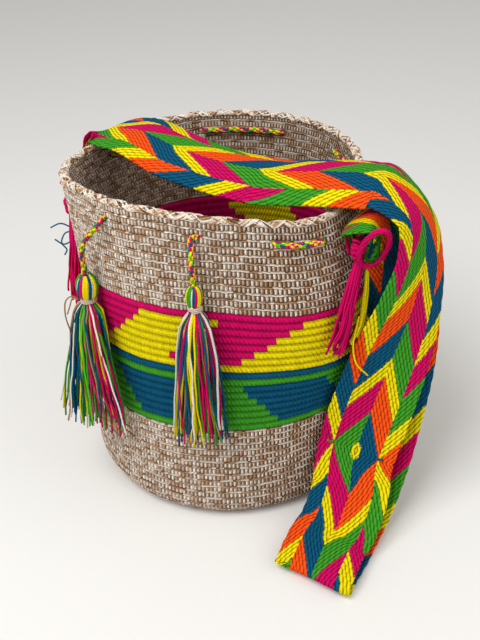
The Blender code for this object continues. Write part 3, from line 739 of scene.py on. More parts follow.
flat_radius = BASE_RADIUS - CORNER_RADIUS
for radius in (0.0, 0.5 * flat_radius, flat_radius - 1.0):
    lower.add(disc_ring(radius, 0.0), MAGENTA, 0.0)
low_pitch = band_low / ROWS_BELOW
lower_tints = [marl_and_painted_shade(POST_PROFILE) for _ in range(ROWS_BELOW)]
for k in range(ROWS_BELOW):
    profile = POST_PROFILE if k > 0 else CORNER_PROFILE
    add_outside(lower, k * low_pitch, low_pitch, profile, lower_tints[k], min(k, 1))
lower.add(stitch_ring(band_low, -0.9, -0.8, 0), BROWN, band_low)
for k in reversed(range(1, ROWS_BELOW)):
    add_inside(lower, (k + 1) * low_pitch, low_pitch, lower_tints[k], 1)
radius = flat_radius
while radius > 0.5 * BASE_ROUND:
    lower.add(disc_ring(radius, WALL_THICKNESS + 0.2), MAGENTA, 0.0)
    lower.add(disc_ring(radius - 0.5 * BASE_ROUND, WALL_THICKNESS - 0.6), MAGENTA, 0.0)
    radius -= BASE_ROUND
lower.add(disc_ring(0.0, WALL_THICKNESS), MAGENTA, 0.0)
wall_below = lower.build("wall_below_band")

# %% [markdown]
# Each finished piece is handed over with the body that it moves with and, where the CAD has a solid
# for it, the node that it stands for, which is then hidden.

# %% Handing a piece over
def hand_over(piece, body, node=None):
    """Attach a piece to the body that it moves with, and hide the node that it stands for."""
    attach(piece, body)
    if node:
        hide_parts(node)


for piece in (wall_above, wall_band, wall_below):
    hand_over(piece, "bag", "bag_body")
print("three pieces of the wall handed over")

# %% [markdown]
# Yarn follows a smooth curve through a few chosen points. A small frame of directions is carried along
# each curve, so that what is wound round it doesn't twist by itself.

# %% Lines that yarn follows
def smooth_curve(points, pieces):
    """A smooth curve through chosen points, with so many fine pieces between each two."""
    ends = np.vstack((2 * points[0] - points[1], points, 2 * points[-1] - points[-2]))
    share = np.linspace(0.0, 1.0, pieces, endpoint=False)[:, None]
    parts = []
    for a, b, c, d in zip(ends, ends[1:], ends[2:], ends[3:]):
        parts.append(0.5 * (2 * b + (c - a) * share + (2 * a - 5 * b + 4 * c - d) * share ** 2
                            + (3 * b - a - 3 * c + d) * share ** 3))
    return np.vstack(parts + [points[-1:]])


def length_run(line):
    """The length from a line's start to each of its points."""
    return np.concatenate(([0.0], np.cumsum(np.linalg.norm(np.diff(line, axis=0), axis=1))))


def sampled(line, run, wanted):
    """The places at the wanted lengths along a line."""
    return np.stack([np.interp(wanted, run, line[:, k]) for k in range(3)], axis=-1)


def through(points, spacing):
    """Points at an even spacing along a smooth curve through a few chosen ones, in millimetres."""
    fine = smooth_curve(np.asarray(points, float), 12)
    run = length_run(fine)
    count = max(2, round(run[-1] / spacing))
    return sampled(fine, run, np.linspace(0.0, run[-1], count + 1))


def carried_frames(line):
    """Unit tangents and two side directions carried along a line without twisting."""
    tangents = np.gradient(line, axis=0)
    tangents /= np.linalg.norm(tangents, axis=1)[:, None]
    side = np.cross(tangents[0], (0.0, 0.0, 1.0))
    if np.linalg.norm(side) < 0.2:
        side = np.cross(tangents[0], (0.0, 1.0, 0.0))
    sides = []
    for tangent in tangents:
        side = side - tangent * np.dot(side, tangent)
        side = side / np.linalg.norm(side)
        sides.append(side)
    sides = np.array(sides)
    return tangents, sides, np.cross(tangents, sides)


def wound(first, second, angle):
    """Directions out from a line at each point's angle."""
    return first * np.cos(angle)[:, None] + second * np.sin(angle)[:, None]


print("an arc of 100 mm has", len(through(((0, 0, 0), (50, 10, 0), (100, 0, 0)), 2.0)), "points")

# %% [markdown]
# Everything but the wall and the strap is loose or plaited yarn: long thin tubes, several hundred in
# all. Blender's curves could make them, but a piece needs one mesh with a colour for each yarn and a
# UV map that counts its length for the twist, so the tubes are written as one mesh directly.

# %% Spinning yarn along lines
YARN_PITCH = 4.5


def spin(name, strands, sides=6):
    """One piece of many yarns; a strand is (line in mm, radius in mm, colour)."""
    places, faces, chart, shades = [], [], [], []
    count = 0
    for line, radius, colour in strands:
        line = np.asarray(line, float)
        steps = len(line)
        _, first, second = carried_frames(line)
        radius = np.broadcast_to(radius, steps)
        angle = math.tau * np.arange(sides) / sides
        ring = first[:, None] * np.cos(angle)[None, :, None]
        ring = ring + second[:, None] * np.sin(angle)[None, :, None]
        places.append((line[:, None] + ring * radius[:, None, None]).reshape(-1, 3))
        run = length_run(line) / YARN_PITCH
        for r in range(steps - 1):
            for c in range(sides):
                after = (c + 1) % sides
                low, high = count + r * sides, count + (r + 1) * sides
                faces.append((low + c, low + after, high + after, high + c))
                u0, u1 = c / sides, (c + 1) / sides
                chart += [(u0, run[r]), (u1, run[r]), (u1, run[r + 1]), (u0, run[r + 1])]
        faces.append(tuple(count + c for c in reversed(range(sides))))
        faces.append(tuple(count + (steps - 1) * sides + c for c in range(sides)))
        chart += [(0.0, run[0])] * sides + [(0.0, run[-1])] * sides
        shades.append(np.tile(np.append(colour, 1.0), (steps * sides, 1)))
        count += steps * sides
    mesh = bpy.data.meshes.new(name)
    mesh.from_pydata((np.vstack(places) * MM).tolist(), [], faces)
    layer = mesh.uv_layers.new(name="UVMap")
    layer.data.foreach_set("uv", np.array(chart, np.float32).ravel())
    colours = mesh.color_attributes.new("yarn_colour", "FLOAT_COLOR", "POINT")
    colours.data.foreach_set("color", np.vstack(shades).astype(np.float32).ravel())
    mesh.materials.append(spun_cotton)
    mesh.shade_smooth()
    piece = bpy.data.objects.new(name, mesh)
    bpy.context.collection.objects.link(piece)
    print(name, len(strands), "yarns,", sum(len(f) - 2 for f in faces), "triangles")
    return piece


print("a turn of the twist every", YARN_PITCH, "mm")

# %% [markdown]
# The rim is finished with a shell edging: the yarns of each scallop cross over the next one's. Sixteen
# yarns that wind both ways round a low rope, and climb and fall with each scallop, have the same look
# from above and from the side.

# %% Rim
SCALLOP_LENGTH = 26.0
RIM_YARNS = 16
RIM_POINTS = 560
RIM_YARN_RADIUS = 0.95
RIM_COLOURS = (CREAM, TAN, 0.85 * CREAM, 0.5 * (TAN + CREAM), BROWN)


def make_rim():
    """The crossing yarns of the scalloped edging along the top of the wall."""
    draw = np.random.default_rng(9)
    azimuth = np.linspace(0.0, 360.0, RIM_POINTS + 1)
    angle = np.radians(azimuth)
    scallops = round(math.tau * MOUTH_RADIUS / SCALLOP_LENGTH)
    scallop = azimuth * scallops / 360.0 + 0.25 * np.sin(angle * 5.0)
    centre = wall_point(azimuth, top_row, -0.5 * WALL_THICKNESS)
    centre[:, 2] += 1.5 * np.abs(np.sin(np.pi * scallop)) - 0.6
    outs = np.stack([outward(a) for a in azimuth])
    strands = []
    for k in range(RIM_YARNS):
        way = 1 if k % 2 else -1
        turns = scallops + int(draw.integers(-5, 6))
        turn = way * angle * turns + math.tau * k / RIM_YARNS + 0.4 * np.sin(angle * 9.0)
        across = (3.1 + 0.4 * np.sin(angle * int(draw.integers(11, 19)))) * np.cos(turn)
        over = 1.9 * np.sin(turn) - 0.2
        line = centre + outs * across[:, None] + np.array((0.0, 0.0, 1.0)) * over[:, None]
        colour = RIM_COLOURS[k % len(RIM_COLOURS)]
        strands.append((line, RIM_YARN_RADIUS, colour * draw.uniform(0.9, 1.05)))
    return spin("rim_edging", strands)


hand_over(make_rim(), "bag", "bag_body")

# %% [markdown]
# The drawstring is a round plait. Half of its yarns wind one way and half the other, and each goes
# over and under those it meets, so the distance of a yarn from the cord's middle rises and falls.

# %% Drawstring
CORD_DIAMETER = 4.0
CORD_GAP = 1.3
ROW_CREST = 0.9
CORD_TURN = 2.6
CORD_END_TURN = 1.3
SEAT = 0.3
PLAIT_YARNS = ((YELLOW, 1), (MAGENTA, -1), (TEAL, 1), (GREEN * 1.5, -1), (YELLOW, 1), (MAGENTA, -1))
PLAIT_PITCH = 21.0
PLAIT_YARN_RADIUS = 1.25


def cord_side(azimuth):
    """+1 where the drawstring runs outside the wall, -1 inside."""
    side = 1.0
    value = np.ones_like(azimuth)
    for eyelet in EYELETS:
        share = np.clip((azimuth - eyelet + CORD_TURN) / (2.0 * CORD_TURN), 0.0, 1.0)
        value = value - 2.0 * side * share * share * (3.0 - 2.0 * share)
        side = -side
    return value


def cord_point(azimuth):
    """A point of the drawstring's middle line, in millimetres."""
    azimuth = np.asarray(azimuth, float)
    reach = 0.5 * (WALL_THICKNESS + CORD_DIAMETER) + CORD_GAP + 0.5 * ROW_CREST
    return by_wall(azimuth, EYELET_DROP, cord_side(azimuth) * reach - 0.5 * WALL_THICKNESS)


def plait(line, spacing=1.1):
    """The yarns of a plaited cord round a middle line."""
    run = length_run(line)
    wanted = np.linspace(0.0, run[-1], max(8, round(run[-1] / spacing)))
    fine = sampled(line, run, wanted)
    _, first, second = carried_frames(fine)
    strands = []
    count = len(PLAIT_YARNS)
    for k, (colour, way) in enumerate(PLAIT_YARNS):
        turn = way * math.tau * wanted / PLAIT_PITCH + math.tau * k / count
        reach = 1.25 + 0.3 * np.cos(math.tau * wanted / PLAIT_PITCH * count / 2.0 + k * math.pi)
        strands.append((fine + wound(first, second, turn) * reach[:, None], PLAIT_YARN_RADIUS, colour))
    return strands


string_start = EYELETS[0] - CORD_END_TURN
string_end = EYELETS[-1] + CORD_END_TURN
string_line = cord_point(np.linspace(string_start, string_end, 640))
drawstring = spin("drawstring_plait", plait(string_line), sides=5)
hand_over(drawstring, "bag", "drawstring")

# %% [markdown]
# Each tassel is a bunch of yarns folded over the cord's end and bound with a white one. The fold makes
# the round head, and below the binding the yarns spread and hang down the wall. A tassel's form is its
# half width and half depth at a few distances below its top.

# %% Form of a tassel
STRAND_DEPTH = 0.08
TASSEL_GAP = 2.0
SKIRT_HALF_DEPTH = 13.0
NECK_LENGTH = 4.0


class Tassel:
    """Place and sizes of one tassel, in millimetres and degrees."""

    def __init__(self, azimuth, drop, lean, turn, head_radius, head_length, neck_radius, skirt, half_width):
        self.azimuth, self.drop, self.lean, self.turn = azimuth, drop, lean, turn
        self.head_radius, self.head_length, self.neck_radius = head_radius, head_length, neck_radius
        self.skirt, self.half_width = skirt, half_width
        in_head = head_length * np.array((0.0, 0.14, 0.45, 0.80, 1.0))
        in_skirt = skirt * np.array((0.10, 0.30, 0.65, 1.0))
        self.below = np.concatenate((in_head, (head_length + NECK_LENGTH,), head_length + in_skirt))
        head_half = head_radius * np.array((0.35, 0.80, 1.0, 0.86))
        skirt_half = half_width * np.array((0.50, 0.70, 0.88, 1.0))
        self.width = np.concatenate((head_half, (neck_radius, neck_radius), skirt_half))
        skirt_deep = SKIRT_HALF_DEPTH * np.array((0.85, 1.0, 1.0, 0.9))
        self.depth = np.concatenate((head_half, (neck_radius, neck_radius), skirt_deep))

    def middle(self, below):
        """Middle line, width direction and depth direction at a distance below the head's top."""
        down = max(below - self.head_length - NECK_LENGTH, 0.0) / self.skirt
        where = self.azimuth + self.lean * down
        turned_by = self.turn * down
        half_width = np.interp(below, self.below, self.width)
        half_depth = np.interp(below, self.below, self.depth)
        lifted = half_width * math.sin(math.radians(abs(turned_by))) + half_depth - self.head_radius
        stand = self.head_radius * (1.0 + STRAND_DEPTH) + TASSEL_GAP + max(lifted, 0.0)
        place = by_wall(where, self.drop + below, stand)
        return place, sideways(where + turned_by) * half_width, outward(where + turned_by) * half_depth

    def place(self, below, out, angle):
        """A point of the tassel: how far below its top, how far out in it, and where round it."""
        place, along, away = self.middle(below)
        return place + along * (out * math.cos(angle)) + away * (out * math.sin(angle))


left_tassel = Tassel(azimuth=-147.5, drop=71.0, lean=6.5, turn=22.0, head_radius=9.8, head_length=22.0,
                     neck_radius=5.2, skirt=119.0, half_width=40.0)
right_tassel = Tassel(azimuth=-100.0, drop=53.0, lean=-1.0, turn=0.0, head_radius=7.0, head_length=18.5,
                      neck_radius=4.2, skirt=131.0, half_width=26.0)
print("skirts:", left_tassel.skirt, "and", right_tassel.skirt, "mm long")

# %% [markdown]
# The yarns are laid in rings from the inside out, so that the bunch is full. Each hangs a little
# differently. A skirt has its colours in sectors round it, because a real tassel is made of hanks that
# stay together, and some yarns have strayed from their sector.

# %% Tassels
SKIRT_YARNS = 120
HEAD_YARNS = 20
GOLDEN_SHARE = 0.381966
# of the outermost yarns, those at the skirt's front and its two edges are white
WHITE_YARNS = (116, 118, 119)
# the skirt's colours round it, from the bag's right: the first half is its front
TASSEL_COLOURS = (MAGENTA * 0.7, MAGENTA, GREEN, TAN, MAGENTA, GREEN * 1.5, YELLOW, TEAL,
                  TEAL * 1.3, TAN, GREEN, YELLOW, TEAL, YELLOW, GREEN, MAGENTA,
                  CREAM, TAN, TEAL, MAGENTA, YELLOW, GREEN, TEAL * 0.7, TEAL)
HEAD_COLOURS = (TEAL, YELLOW, YELLOW, MAGENTA, TEAL, CREAM, GREEN, GREEN, YELLOW, CREAM)
BINDING_COLOUR = 0.55 * CREAM + 0.3 * TAN


def make_tassel(side, tassel, seed):
    """Head yarns, skirt yarns and the binding of one tassel."""
    draw = np.random.default_rng(seed)
    head, hanging = [], []
    length = tassel.head_length
    yarn = math.pi * tassel.head_radius / HEAD_YARNS
    for k in range(HEAD_YARNS):
        angle = math.tau * k / HEAD_YARNS
        line = [tassel.place(at, 1.0 - yarn / tassel.head_radius, angle + 0.3 * at / length)
                for at in np.linspace(0.0, length + 2.0, 12)]
        colour = HEAD_COLOURS[k % len(HEAD_COLOURS)]
        head.append((line, yarn * (0.7 if colour is CREAM else 1.25), colour))
    for k in range(SKIRT_YARNS):
        angle = math.tau * k * GOLDEN_SHARE + draw.uniform(-0.15, 0.15)
        spread = math.sqrt((k + 0.5) / SKIRT_YARNS)
        last = length + tassel.skirt * draw.uniform(0.84, 1.03)
        sway = draw.uniform(-0.3, 0.3)
        waves = draw.uniform(0.0, math.tau, 3)
        line = []
        for at in np.linspace(length - 2.0, last, 20):
            down = max((at - length) / tassel.skirt, 0.0)
            out = 0.94 * spread + 0.06 * math.sin(waves[0] + 6.0 * down) * min(1.0, 4.0 * down)
            wiggle = 0.09 * math.sin(waves[1] + 6.0 * down) + 0.02 * math.sin(waves[2] + 24.0 * down)
            line.append(tassel.place(at, max(out, 0.02), angle + sway * down + wiggle))
        sector = int((angle % math.tau) / math.tau * len(TASSEL_COLOURS))
        if draw.uniform() > 0.7:
            sector = int(draw.integers(0, len(TASSEL_COLOURS)))
        colour = CREAM if k in WHITE_YARNS else TASSEL_COLOURS[sector % len(TASSEL_COLOURS)]
        thick = draw.uniform(0.85, 1.2)
        hanging.append((line, np.linspace(thick, 0.8 * thick, 20), colour * draw.uniform(0.85, 1.1)))
    yarns = spin(side + "_tassel_yarns", head + hanging, sides=5)
    middle, along, away = tassel.middle(length + 1.0)
    along, away = along / np.linalg.norm(along), away / np.linalg.norm(away)
    turns = np.linspace(0.0, 2.3 * math.tau, 60)
    reach = tassel.neck_radius + 1.3
    coil = (middle + np.outer(np.cos(turns), along) * reach + np.outer(np.sin(turns), away) * reach
            + np.outer((turns / turns[-1] - 0.5) * -3.6, (0.0, 0.0, 1.0)))
    binding = spin(side + "_tassel_binding", [(coil, 0.85, BINDING_COLOUR)])
    hand_over(yarns, side + "_hanging", side + "_tassel")
    hand_over(binding, side + "_hanging", side + "_tassel_tie")
    return tassel.middle(-SEAT)[0]


left_top = make_tassel("left", left_tassel, 21)
right_top = make_tassel("right", right_tassel, 22)

# %% [markdown]
# The drawstring's ends leave the wall and hang down to the tassels. They are the bag's only free
# cords, and each is plaited along a line from its eyelet to its tassel's head.

# %% Tails of the drawstring
def make_tail(side, azimuth, before, top):
    """One plaited tail, from its eyelet to the head of its tassel."""
    start = cord_point(azimuth)
    heading = start - cord_point(before)
    heading = heading / np.linalg.norm(heading)
    begin = start + heading * SEAT
    centre = begin + heading * (0.5 * CORD_DIAMETER)
    above_head = top + np.array((0.0, 0.0, 2.0 * CORD_DIAMETER))
    bend = begin + (top - begin) * (0.75, 0.75, 0.45) + outward(azimuth) * CORD_DIAMETER
    line = np.vstack((begin, through([centre + heading, bend, above_head, top], 1.0)))
    tail = spin(side + "_tail_plait", plait(line), sides=5)
    hand_over(tail, side + "_hanging", side + "_tail")


make_tail("left", string_end, string_end - CORD_TURN, left_top)
make_tail("right", string_start, string_start + CORD_TURN, right_top)

# %% [markdown]
# The strap is braided flat from many cords that run at a slant, mirrored about two lines near its
# edges and one in its middle, which is how it gets its nested arrows and, at the middle of its
# length, a diamond. Its route is the CAD model's: out of the left lashing, over the rim, across the
# mouth, over the right of the rim, down to the ground, round the fold and up to the right lashing.

# %% Strap's route
STRAP_WIDTH = 70.0
STRAP_THICKNESS = 4.0
STRAP_EASE = 0.55
MIDDLE_STATION = 20


def free(x, y, z, layers=0.0):
    """A place of the strap in parts of the mouth's radius and the bag's height, on layers of strap."""
    return np.array((x * MOUTH_RADIUS, y * MOUTH_RADIUS, z * BAG_HEIGHT + layers * STRAP_THICKNESS))


over = CORD_DIAMETER + CORD_GAP + 0.5 * ROW_CREST + 0.5 * STRAP_THICKNESS + SEAT + STRAP_EASE
# place, azimuth of the width, its tilt, how far the edges droop, share of the full width
STATIONS = (
    (by_wall(162.0, 54.0, over), 61.0, -30.0, 0.0, 0.46),
    (by_wall(159.0, 42.0, over + 0.8), 60.0, -32.0, 0.0, 0.48),
    (by_wall(154.0, 27.0, over + 1.0), 58.0, -30.0, 0.0, 0.53),
    (by_wall(149.0, 13.0, over + 0.4), 56.0, -18.0, 0.0, 0.64),
    (by_wall(145.5, 1.5, over - 2.0), 54.0, -6.0, 0.0, 0.84),
    (by_wall(143.0, -8.0, -2.0), 53.0, -2.0, 1.0, 1.0),
    (free(-0.66, 0.495, 1.040), 50.0, 4.0, 2.0, 1.0),
    (free(-0.53, 0.385, 1.045), 49.0, 4.0, 4.0, 1.0),
    (free(-0.33, 0.195, 1.030), 48.0, 6.0, 6.0, 1.0),
    (free(-0.21, 0.075, 1.027), 54.0, 7.0, 7.0, 1.0),
    (free(0.03, -0.075, 1.014), 58.0, 7.0, 8.0, 1.0),
    (free(0.28, -0.245, 1.016), 62.0, 8.0, 9.0, 1.0),
    (free(0.40, -0.335, 1.022), 64.0, 8.0, 9.0, 1.0),
    (free(0.68, -0.445, 1.036), 67.0, 8.0, 9.0, 1.0),
    (free(0.95, -0.555, 1.044), 65.0, 8.0, 9.0, 1.0),
    (free(1.09, -0.615, 1.034), 58.0, 3.0, 7.0, 1.0),
    (free(1.27, -0.755, 0.957), 54.0, -11.0, 4.0, 0.92),
    (free(1.29, -0.855, 0.846), 40.0, -14.0, 3.0, 0.88),
    (free(1.22, -0.925, 0.710), 26.0, -16.0, 2.0, 1.0),
    (free(1.08, -0.985, 0.527), 0.0, -12.0, 1.0, 1.0),
    (free(0.865, -1.088, 0.249), -29.0, -5.0, 0.0, 1.0),
    (free(0.80, -1.235, 0.135), -30.0, -4.0, 0.0, 1.0),
    (free(0.70, -1.385, 0.030, 2.4), -33.0, -4.0, 0.0, 1.0),
    (free(0.62, -1.485, 0.0, 3.9), -34.0, -2.0, 0.0, 1.0),
    (free(0.53, -1.655, 0.0, 3.4), -35.0, 0.0, 0.0, 1.0),
    (free(0.49, -1.730, 0.0, 2.6), -36.0, 0.0, 0.0, 1.0),
    (free(0.482, -1.745, 0.0, 1.7), -36.0, 0.0, 0.0, 1.0),
    (free(0.51, -1.685, 0.0, 0.78), -36.0, 0.0, 0.0, 1.0),
    (free(0.60, -1.545, 0.0, 0.78), -36.0, 0.0, 0.0, 1.0),
    (free(0.71, -1.365, 0.0, 0.93), -36.0, 0.0, 0.0, 1.0),
    (free(0.875, -1.14, 0.060, 0.8), -35.0, 0.0, 0.0, 1.0),
    (free(1.00, -0.995, 0.20), -29.0, 0.0, 0.0, 1.0),
    (free(1.085, -0.89, 0.332), -20.0, 0.0, 0.0, 1.0),
    (free(1.145, -0.84, 0.465), -8.0, 0.0, 0.0, 1.0),
    (free(1.185, -0.80, 0.60), 8.0, 0.0, 0.0, 1.0),
    (free(1.18, -0.765, 0.72), 27.0, 0.0, 1.0, 0.95),
    (free(1.16, -0.755, 0.835), 40.0, 0.0, 2.0, 0.85),
    (free(1.10, -0.775, 0.928), 48.0, 4.0, 2.0, 0.66),
    (free(1.02, -0.795, 0.968), 52.0, 8.0, 2.0, 0.54),
    (free(0.93, -0.785, 0.972), 50.0, 8.0, 1.0, 0.49),
    (by_wall(-42.8, 8.0, over + 1.9), 48.0, 4.0, 0.0, 0.44),
    (by_wall(-42.6, 18.0, over), 46.0, 0.0, 0.0, 0.22),
    (by_wall(-42.6, 32.0, over - 0.8), 46.0, 0.0, 0.0, 0.17),
)
print(len(STATIONS), "stations")

# %% [markdown]
# The stations are far apart, so the strap's line is a smooth curve through their places, and all else
# is shared out between them along it. Samples at an even spacing keep the weave from stretching.

# %% Strap's samples
STRAP_SAMPLE = 1.6
FINE = 24
# near its right end the strap is gathered, and its near edge curls in, in millimetres at stations
CURL_STATIONS = (33, 35, 37, 39, 41)
CURL_DEPTHS = (0.0, -5.0, -7.5, -5.0, 0.0)


def strap_samples():
    """Places, width and face directions, droops, curls, half widths and lengths run, evenly spaced."""
    route = smooth_curve(np.array([station[0] for station in STATIONS]), FINE)
    run = length_run(route)
    number = np.arange(len(route)) / FINE
    settings = [np.interp(number, range(len(STATIONS)), column) for column in zip(*(s[1:] for s in STATIONS))]
    settings.append(np.interp(number, CURL_STATIONS, CURL_DEPTHS))
    wanted = np.linspace(0.0, run[-1], round(run[-1] / STRAP_SAMPLE) + 1)
    places = sampled(route, run, wanted)
    azimuth, tilt, droop, share, curl = [np.interp(wanted, run, values) for values in settings]
    azimuth, tilt = np.radians(azimuth), np.radians(tilt)
    tangents = np.gradient(places, axis=0)
    tangents /= np.linalg.norm(tangents, axis=1)[:, None]
    width = np.stack((np.cos(azimuth) * np.cos(tilt), np.sin(azimuth) * np.cos(tilt), np.sin(tilt)), axis=-1)
    width -= tangents * (width * tangents).sum(axis=1)[:, None]
    width /= np.linalg.norm(width, axis=1)[:, None]
    half = 0.5 * STRAP_WIDTH * share
    return places, width, np.cross(tangents, width), droop, curl, half, wanted - run[FINE * MIDDLE_STATION]


print(len(strap_samples()[0]), "samples along the strap")

# %% [markdown]
# A point of the strap is known by its distance across and its length along. From these come the cord
# that it belongs to and its place along that cord. Each cord has one colour until it turns back at
# an edge, so the colour is chosen for whole pieces of cord, which also gives the saw-toothed edges
# between the colours that the real weave has.

# %% Strap's weave
# widths of the bands of one colour, in millimetres along the strap
WIDE_BAND = 36.0
NARROW_BAND = 21.0
# share of the width where the cords' slant is mirrored, and how far along they run for each one across
VALLEY = 0.19
SLANT = 1.89
# how much further on the bands are outside those two lines
OUTER_SHIFT = 34.0
CORD_STEP = 6.2
TWIST_LENGTH = 7.0
LEFT_CYCLE = np.array((MAGENTA, YELLOW, TEAL, ORANGE, YELLOW, GREEN))
RIGHT_CYCLE = np.array((ORANGE, YELLOW, GREEN, MAGENTA, YELLOW, TEAL))
BAND_ENDS = np.cumsum((WIDE_BAND, NARROW_BAND, WIDE_BAND) * 2)
SLANT_LENGTH = math.hypot(1.0, SLANT)
# the yellow diamond at the middle of the strap's length
DIAMOND_HALF_WIDTH = 4.2
DIAMOND_HALF_LENGTH = 8.5


def weave(across, along):
    """Cord coordinate, place along the cord and left half, for points of the strap."""
    left = across < 0.5
    valley = np.where(left, VALLEY, 1.0 - VALLEY)
    aside = STRAP_WIDTH * np.abs(across - valley)
    return np.abs(along) - SLANT * aside, (aside + SLANT * np.abs(along)) / SLANT_LENGTH, left, valley


def leaf_cord(place, turns):
    """Number of the cord whose leaf-shaped turn lies on top at each point."""
    cord = np.floor(place)
    aside = place - cord - 0.5
    way = np.where(aside < 0.0, -1.0, 1.0)

    def height(index, distance):
        along = (turns + 0.5 * index) % 1.0 - 0.5
        return 1.0 - ((distance - LEAF_LEAN * along) / LEAF_WIDTH) ** 2 - (along / LEAF_LENGTH) ** 2

    return np.where(height(cord + way, aside - way) > height(cord, aside), cord + way, cord)


def weave_colour(across, along):
    """Colour of the strap at points given by share across and millimetres along."""
    place, run, left, valley = weave(across, along)
    cord = leaf_cord(place / CORD_STEP, run / TWIST_LENGTH)
    place = (cord + 0.5) * CORD_STEP
    inner = (across > valley) == left
    place = np.where(inner, place, place + OUTER_SHIFT)
    in_centre = np.where(left[:, None], GREEN, TEAL)
    in_border = np.where(left[:, None], MAGENTA, ORANGE)
    centre = np.where(inner[:, None], in_centre, in_border)
    index = np.searchsorted(BAND_ENDS, np.mod(place, BAND_ENDS[-1]), side="right") % 6
    outer = np.where(left[:, None], LEFT_CYCLE[index], RIGHT_CYCLE[index])
    colour = np.where((place < 0.0)[:, None], centre, outer)
    out = (STRAP_WIDTH * (across - 0.5)) ** 2 / DIAMOND_HALF_WIDTH ** 2
    diamond = out + along ** 2 / DIAMOND_HALF_LENGTH ** 2 < 1.0
    return np.where(diamond[:, None], YELLOW, colour)


def weave_height(across, along):
    """Height of the cords over the strap's mean face, in millimetres."""
    place, run, left, valley = weave(across, along)
    cord = place / CORD_STEP
    bow = np.abs(np.sin(np.pi * cord))
    twist = np.abs(np.sin(np.pi * (run / TWIST_LENGTH + 0.5 * np.floor(cord) + 0.35 * (cord % 1.0))))
    return 0.35 * np.sqrt(bow) + 0.2 * np.sqrt(twist) - 0.35


print("cords", CORD_STEP, "mm apart, colours of", len(LEFT_CYCLE), "bands in turn")

# %% [markdown]
# The strap is one closed skin with both faces woven. Its edges are scalloped where the cords turn
# back, it droops between its supports, and its near edge curls in where it is gathered.

# %% Strap
ACROSS = 56
# how far the edges' scallops stand out, and from which share of the half width the curl begins
SCALLOP_OUT = 0.6
CURL_FROM = 0.3


def make_strap():
    """The strap as one closed skin, both faces woven."""
    places, width, face, droop, curl, half, along = strap_samples()
    edge = np.linspace(-1.0, 1.0, ACROSS + 1)
    loop = np.concatenate((edge, edge[::-1]))
    side = np.concatenate((np.ones(ACROSS + 1), -np.ones(ACROSS + 1)))
    rings, columns = len(places), len(loop)
    share = np.broadcast_to(0.5 + 0.5 * loop, (rings, columns))
    length = np.broadcast_to(along[:, None], (rings, columns))
    body = 0.5 * STRAP_THICKNESS * np.sqrt(1.0 - 0.86 * loop ** 6)
    high = weave_height(share.ravel(), length.ravel()).reshape(rings, columns)
    high = high * (1.0 - 0.8 * loop ** 8)
    scallops = SCALLOP_OUT * np.abs(np.sin(np.pi * length / (2.0 * CORD_STEP)))
    wavy = scallops * np.sign(loop) * np.abs(loop) ** 6
    reach = loop * half[:, None] + wavy
    lift = side * (body + high - 0.25) - droop[:, None] * loop ** 2
    lift = lift - curl[:, None] * np.clip(CURL_FROM - loop, 0.0, None) ** 2
    points = places[:, None] + width[:, None] * reach[:, :, None] + face[:, None] * lift[:, :, None]
    ends = [np.broadcast_to(places[k], (1, columns, 3)) for k in (0, -1)]
    points = np.concatenate((ends[0], points, ends[1]))
    length = np.concatenate((length[:1], length, length[-1:]))
    share = np.concatenate((share[:1], share, share[-1:]))
    middle_share = 0.5 * (share[:-1] + np.roll(share, -1, axis=1)[:-1])
    middle_length = 0.5 * (length[:-1] + length[1:])
    tints = weave_colour(middle_share.ravel(), middle_length.ravel()).reshape(rings + 1, columns, 3)
    chart = np.zeros((rings + 2, columns + 1, 2))
    cords, run, _, _ = weave(share.ravel(), length.ravel())
    chart[:, :-1, 0] = (cords / CORD_STEP).reshape(rings + 2, columns)
    chart[:, :-1, 1] = (run / TWIST_LENGTH).reshape(rings + 2, columns)
    chart[:, -1] = chart[:, 0]
    strap = lay_skin("strap_weave", points, tints, chart, woven_cotton)
    hand_over(strap, "bag", "strap")


make_strap()

# %% [markdown]
# Magenta yarn lashes the strap's two ends to the wall. Each lashing is a knot: a few turns of yarn,
# pulled tight over each other at different slants.

# %% Knots
KNOT_RADIUS = 7.5
KNOT_TURNS = 12
RIGHT_LASHING = -47.5
LEFT_LASHING = 163.5
lash_stand = (CORD_DIAMETER + CORD_GAP + 0.5 * ROW_CREST + STRAP_EASE + STRAP_THICKNESS + 2.0 * SEAT
              + KNOT_RADIUS)
right_knot = by_wall(-45.0, 21.0, lash_stand + 0.5) + np.array((2.0, 0.0, 0.0))
left_knot = by_wall(LEFT_LASHING, 50.0, lash_stand + 0.5)
DOWN = np.array((0.0, 0.0, -1.0))
UP = -DOWN
RIGHT = np.array((1.0, 0.0, 0.0))


def make_knot(side, centre, azimuth, seed):
    """A knot: a few turns of yarn pulled tight over each other."""
    draw = np.random.default_rng(seed)
    out, along = outward(azimuth), sideways(azimuth)
    strands = []
    for k in range(KNOT_TURNS):
        tip = draw.uniform(-1.1, 1.1)
        lean = draw.uniform(-0.7, 0.7)
        turns = np.linspace(0.0, math.tau * 1.15, 34)
        axis_a = (along * math.cos(lean) + DOWN * math.sin(lean)) * 1.5
        reach = KNOT_RADIUS * draw.uniform(0.55, 0.8)
        flat = KNOT_RADIUS * draw.uniform(0.45, 0.75)
        line = (centre + DOWN * (tip * 0.45 * KNOT_RADIUS) + np.outer(np.cos(turns) * reach, axis_a)
                + np.outer(np.sin(turns) * flat, out) + np.outer(turns / math.tau - 0.5, DOWN) * 2.2)
        strands.append((line, 1.15, MAGENTA * draw.uniform(0.85, 1.1)))
    knot = spin(side + "_knot_yarn", strands)
    hand_over(knot, "bag", side + "_strap_knot")


make_knot("right", right_knot, RIGHT_LASHING, 31)
make_knot("left", left_knot, LEFT_LASHING, 32)

# %% [markdown]
# Below each knot its yarns hang as a loose fringe, bunched at the knot and spread at their ends. They
# lie against the wall and wave a little, each in its own way.

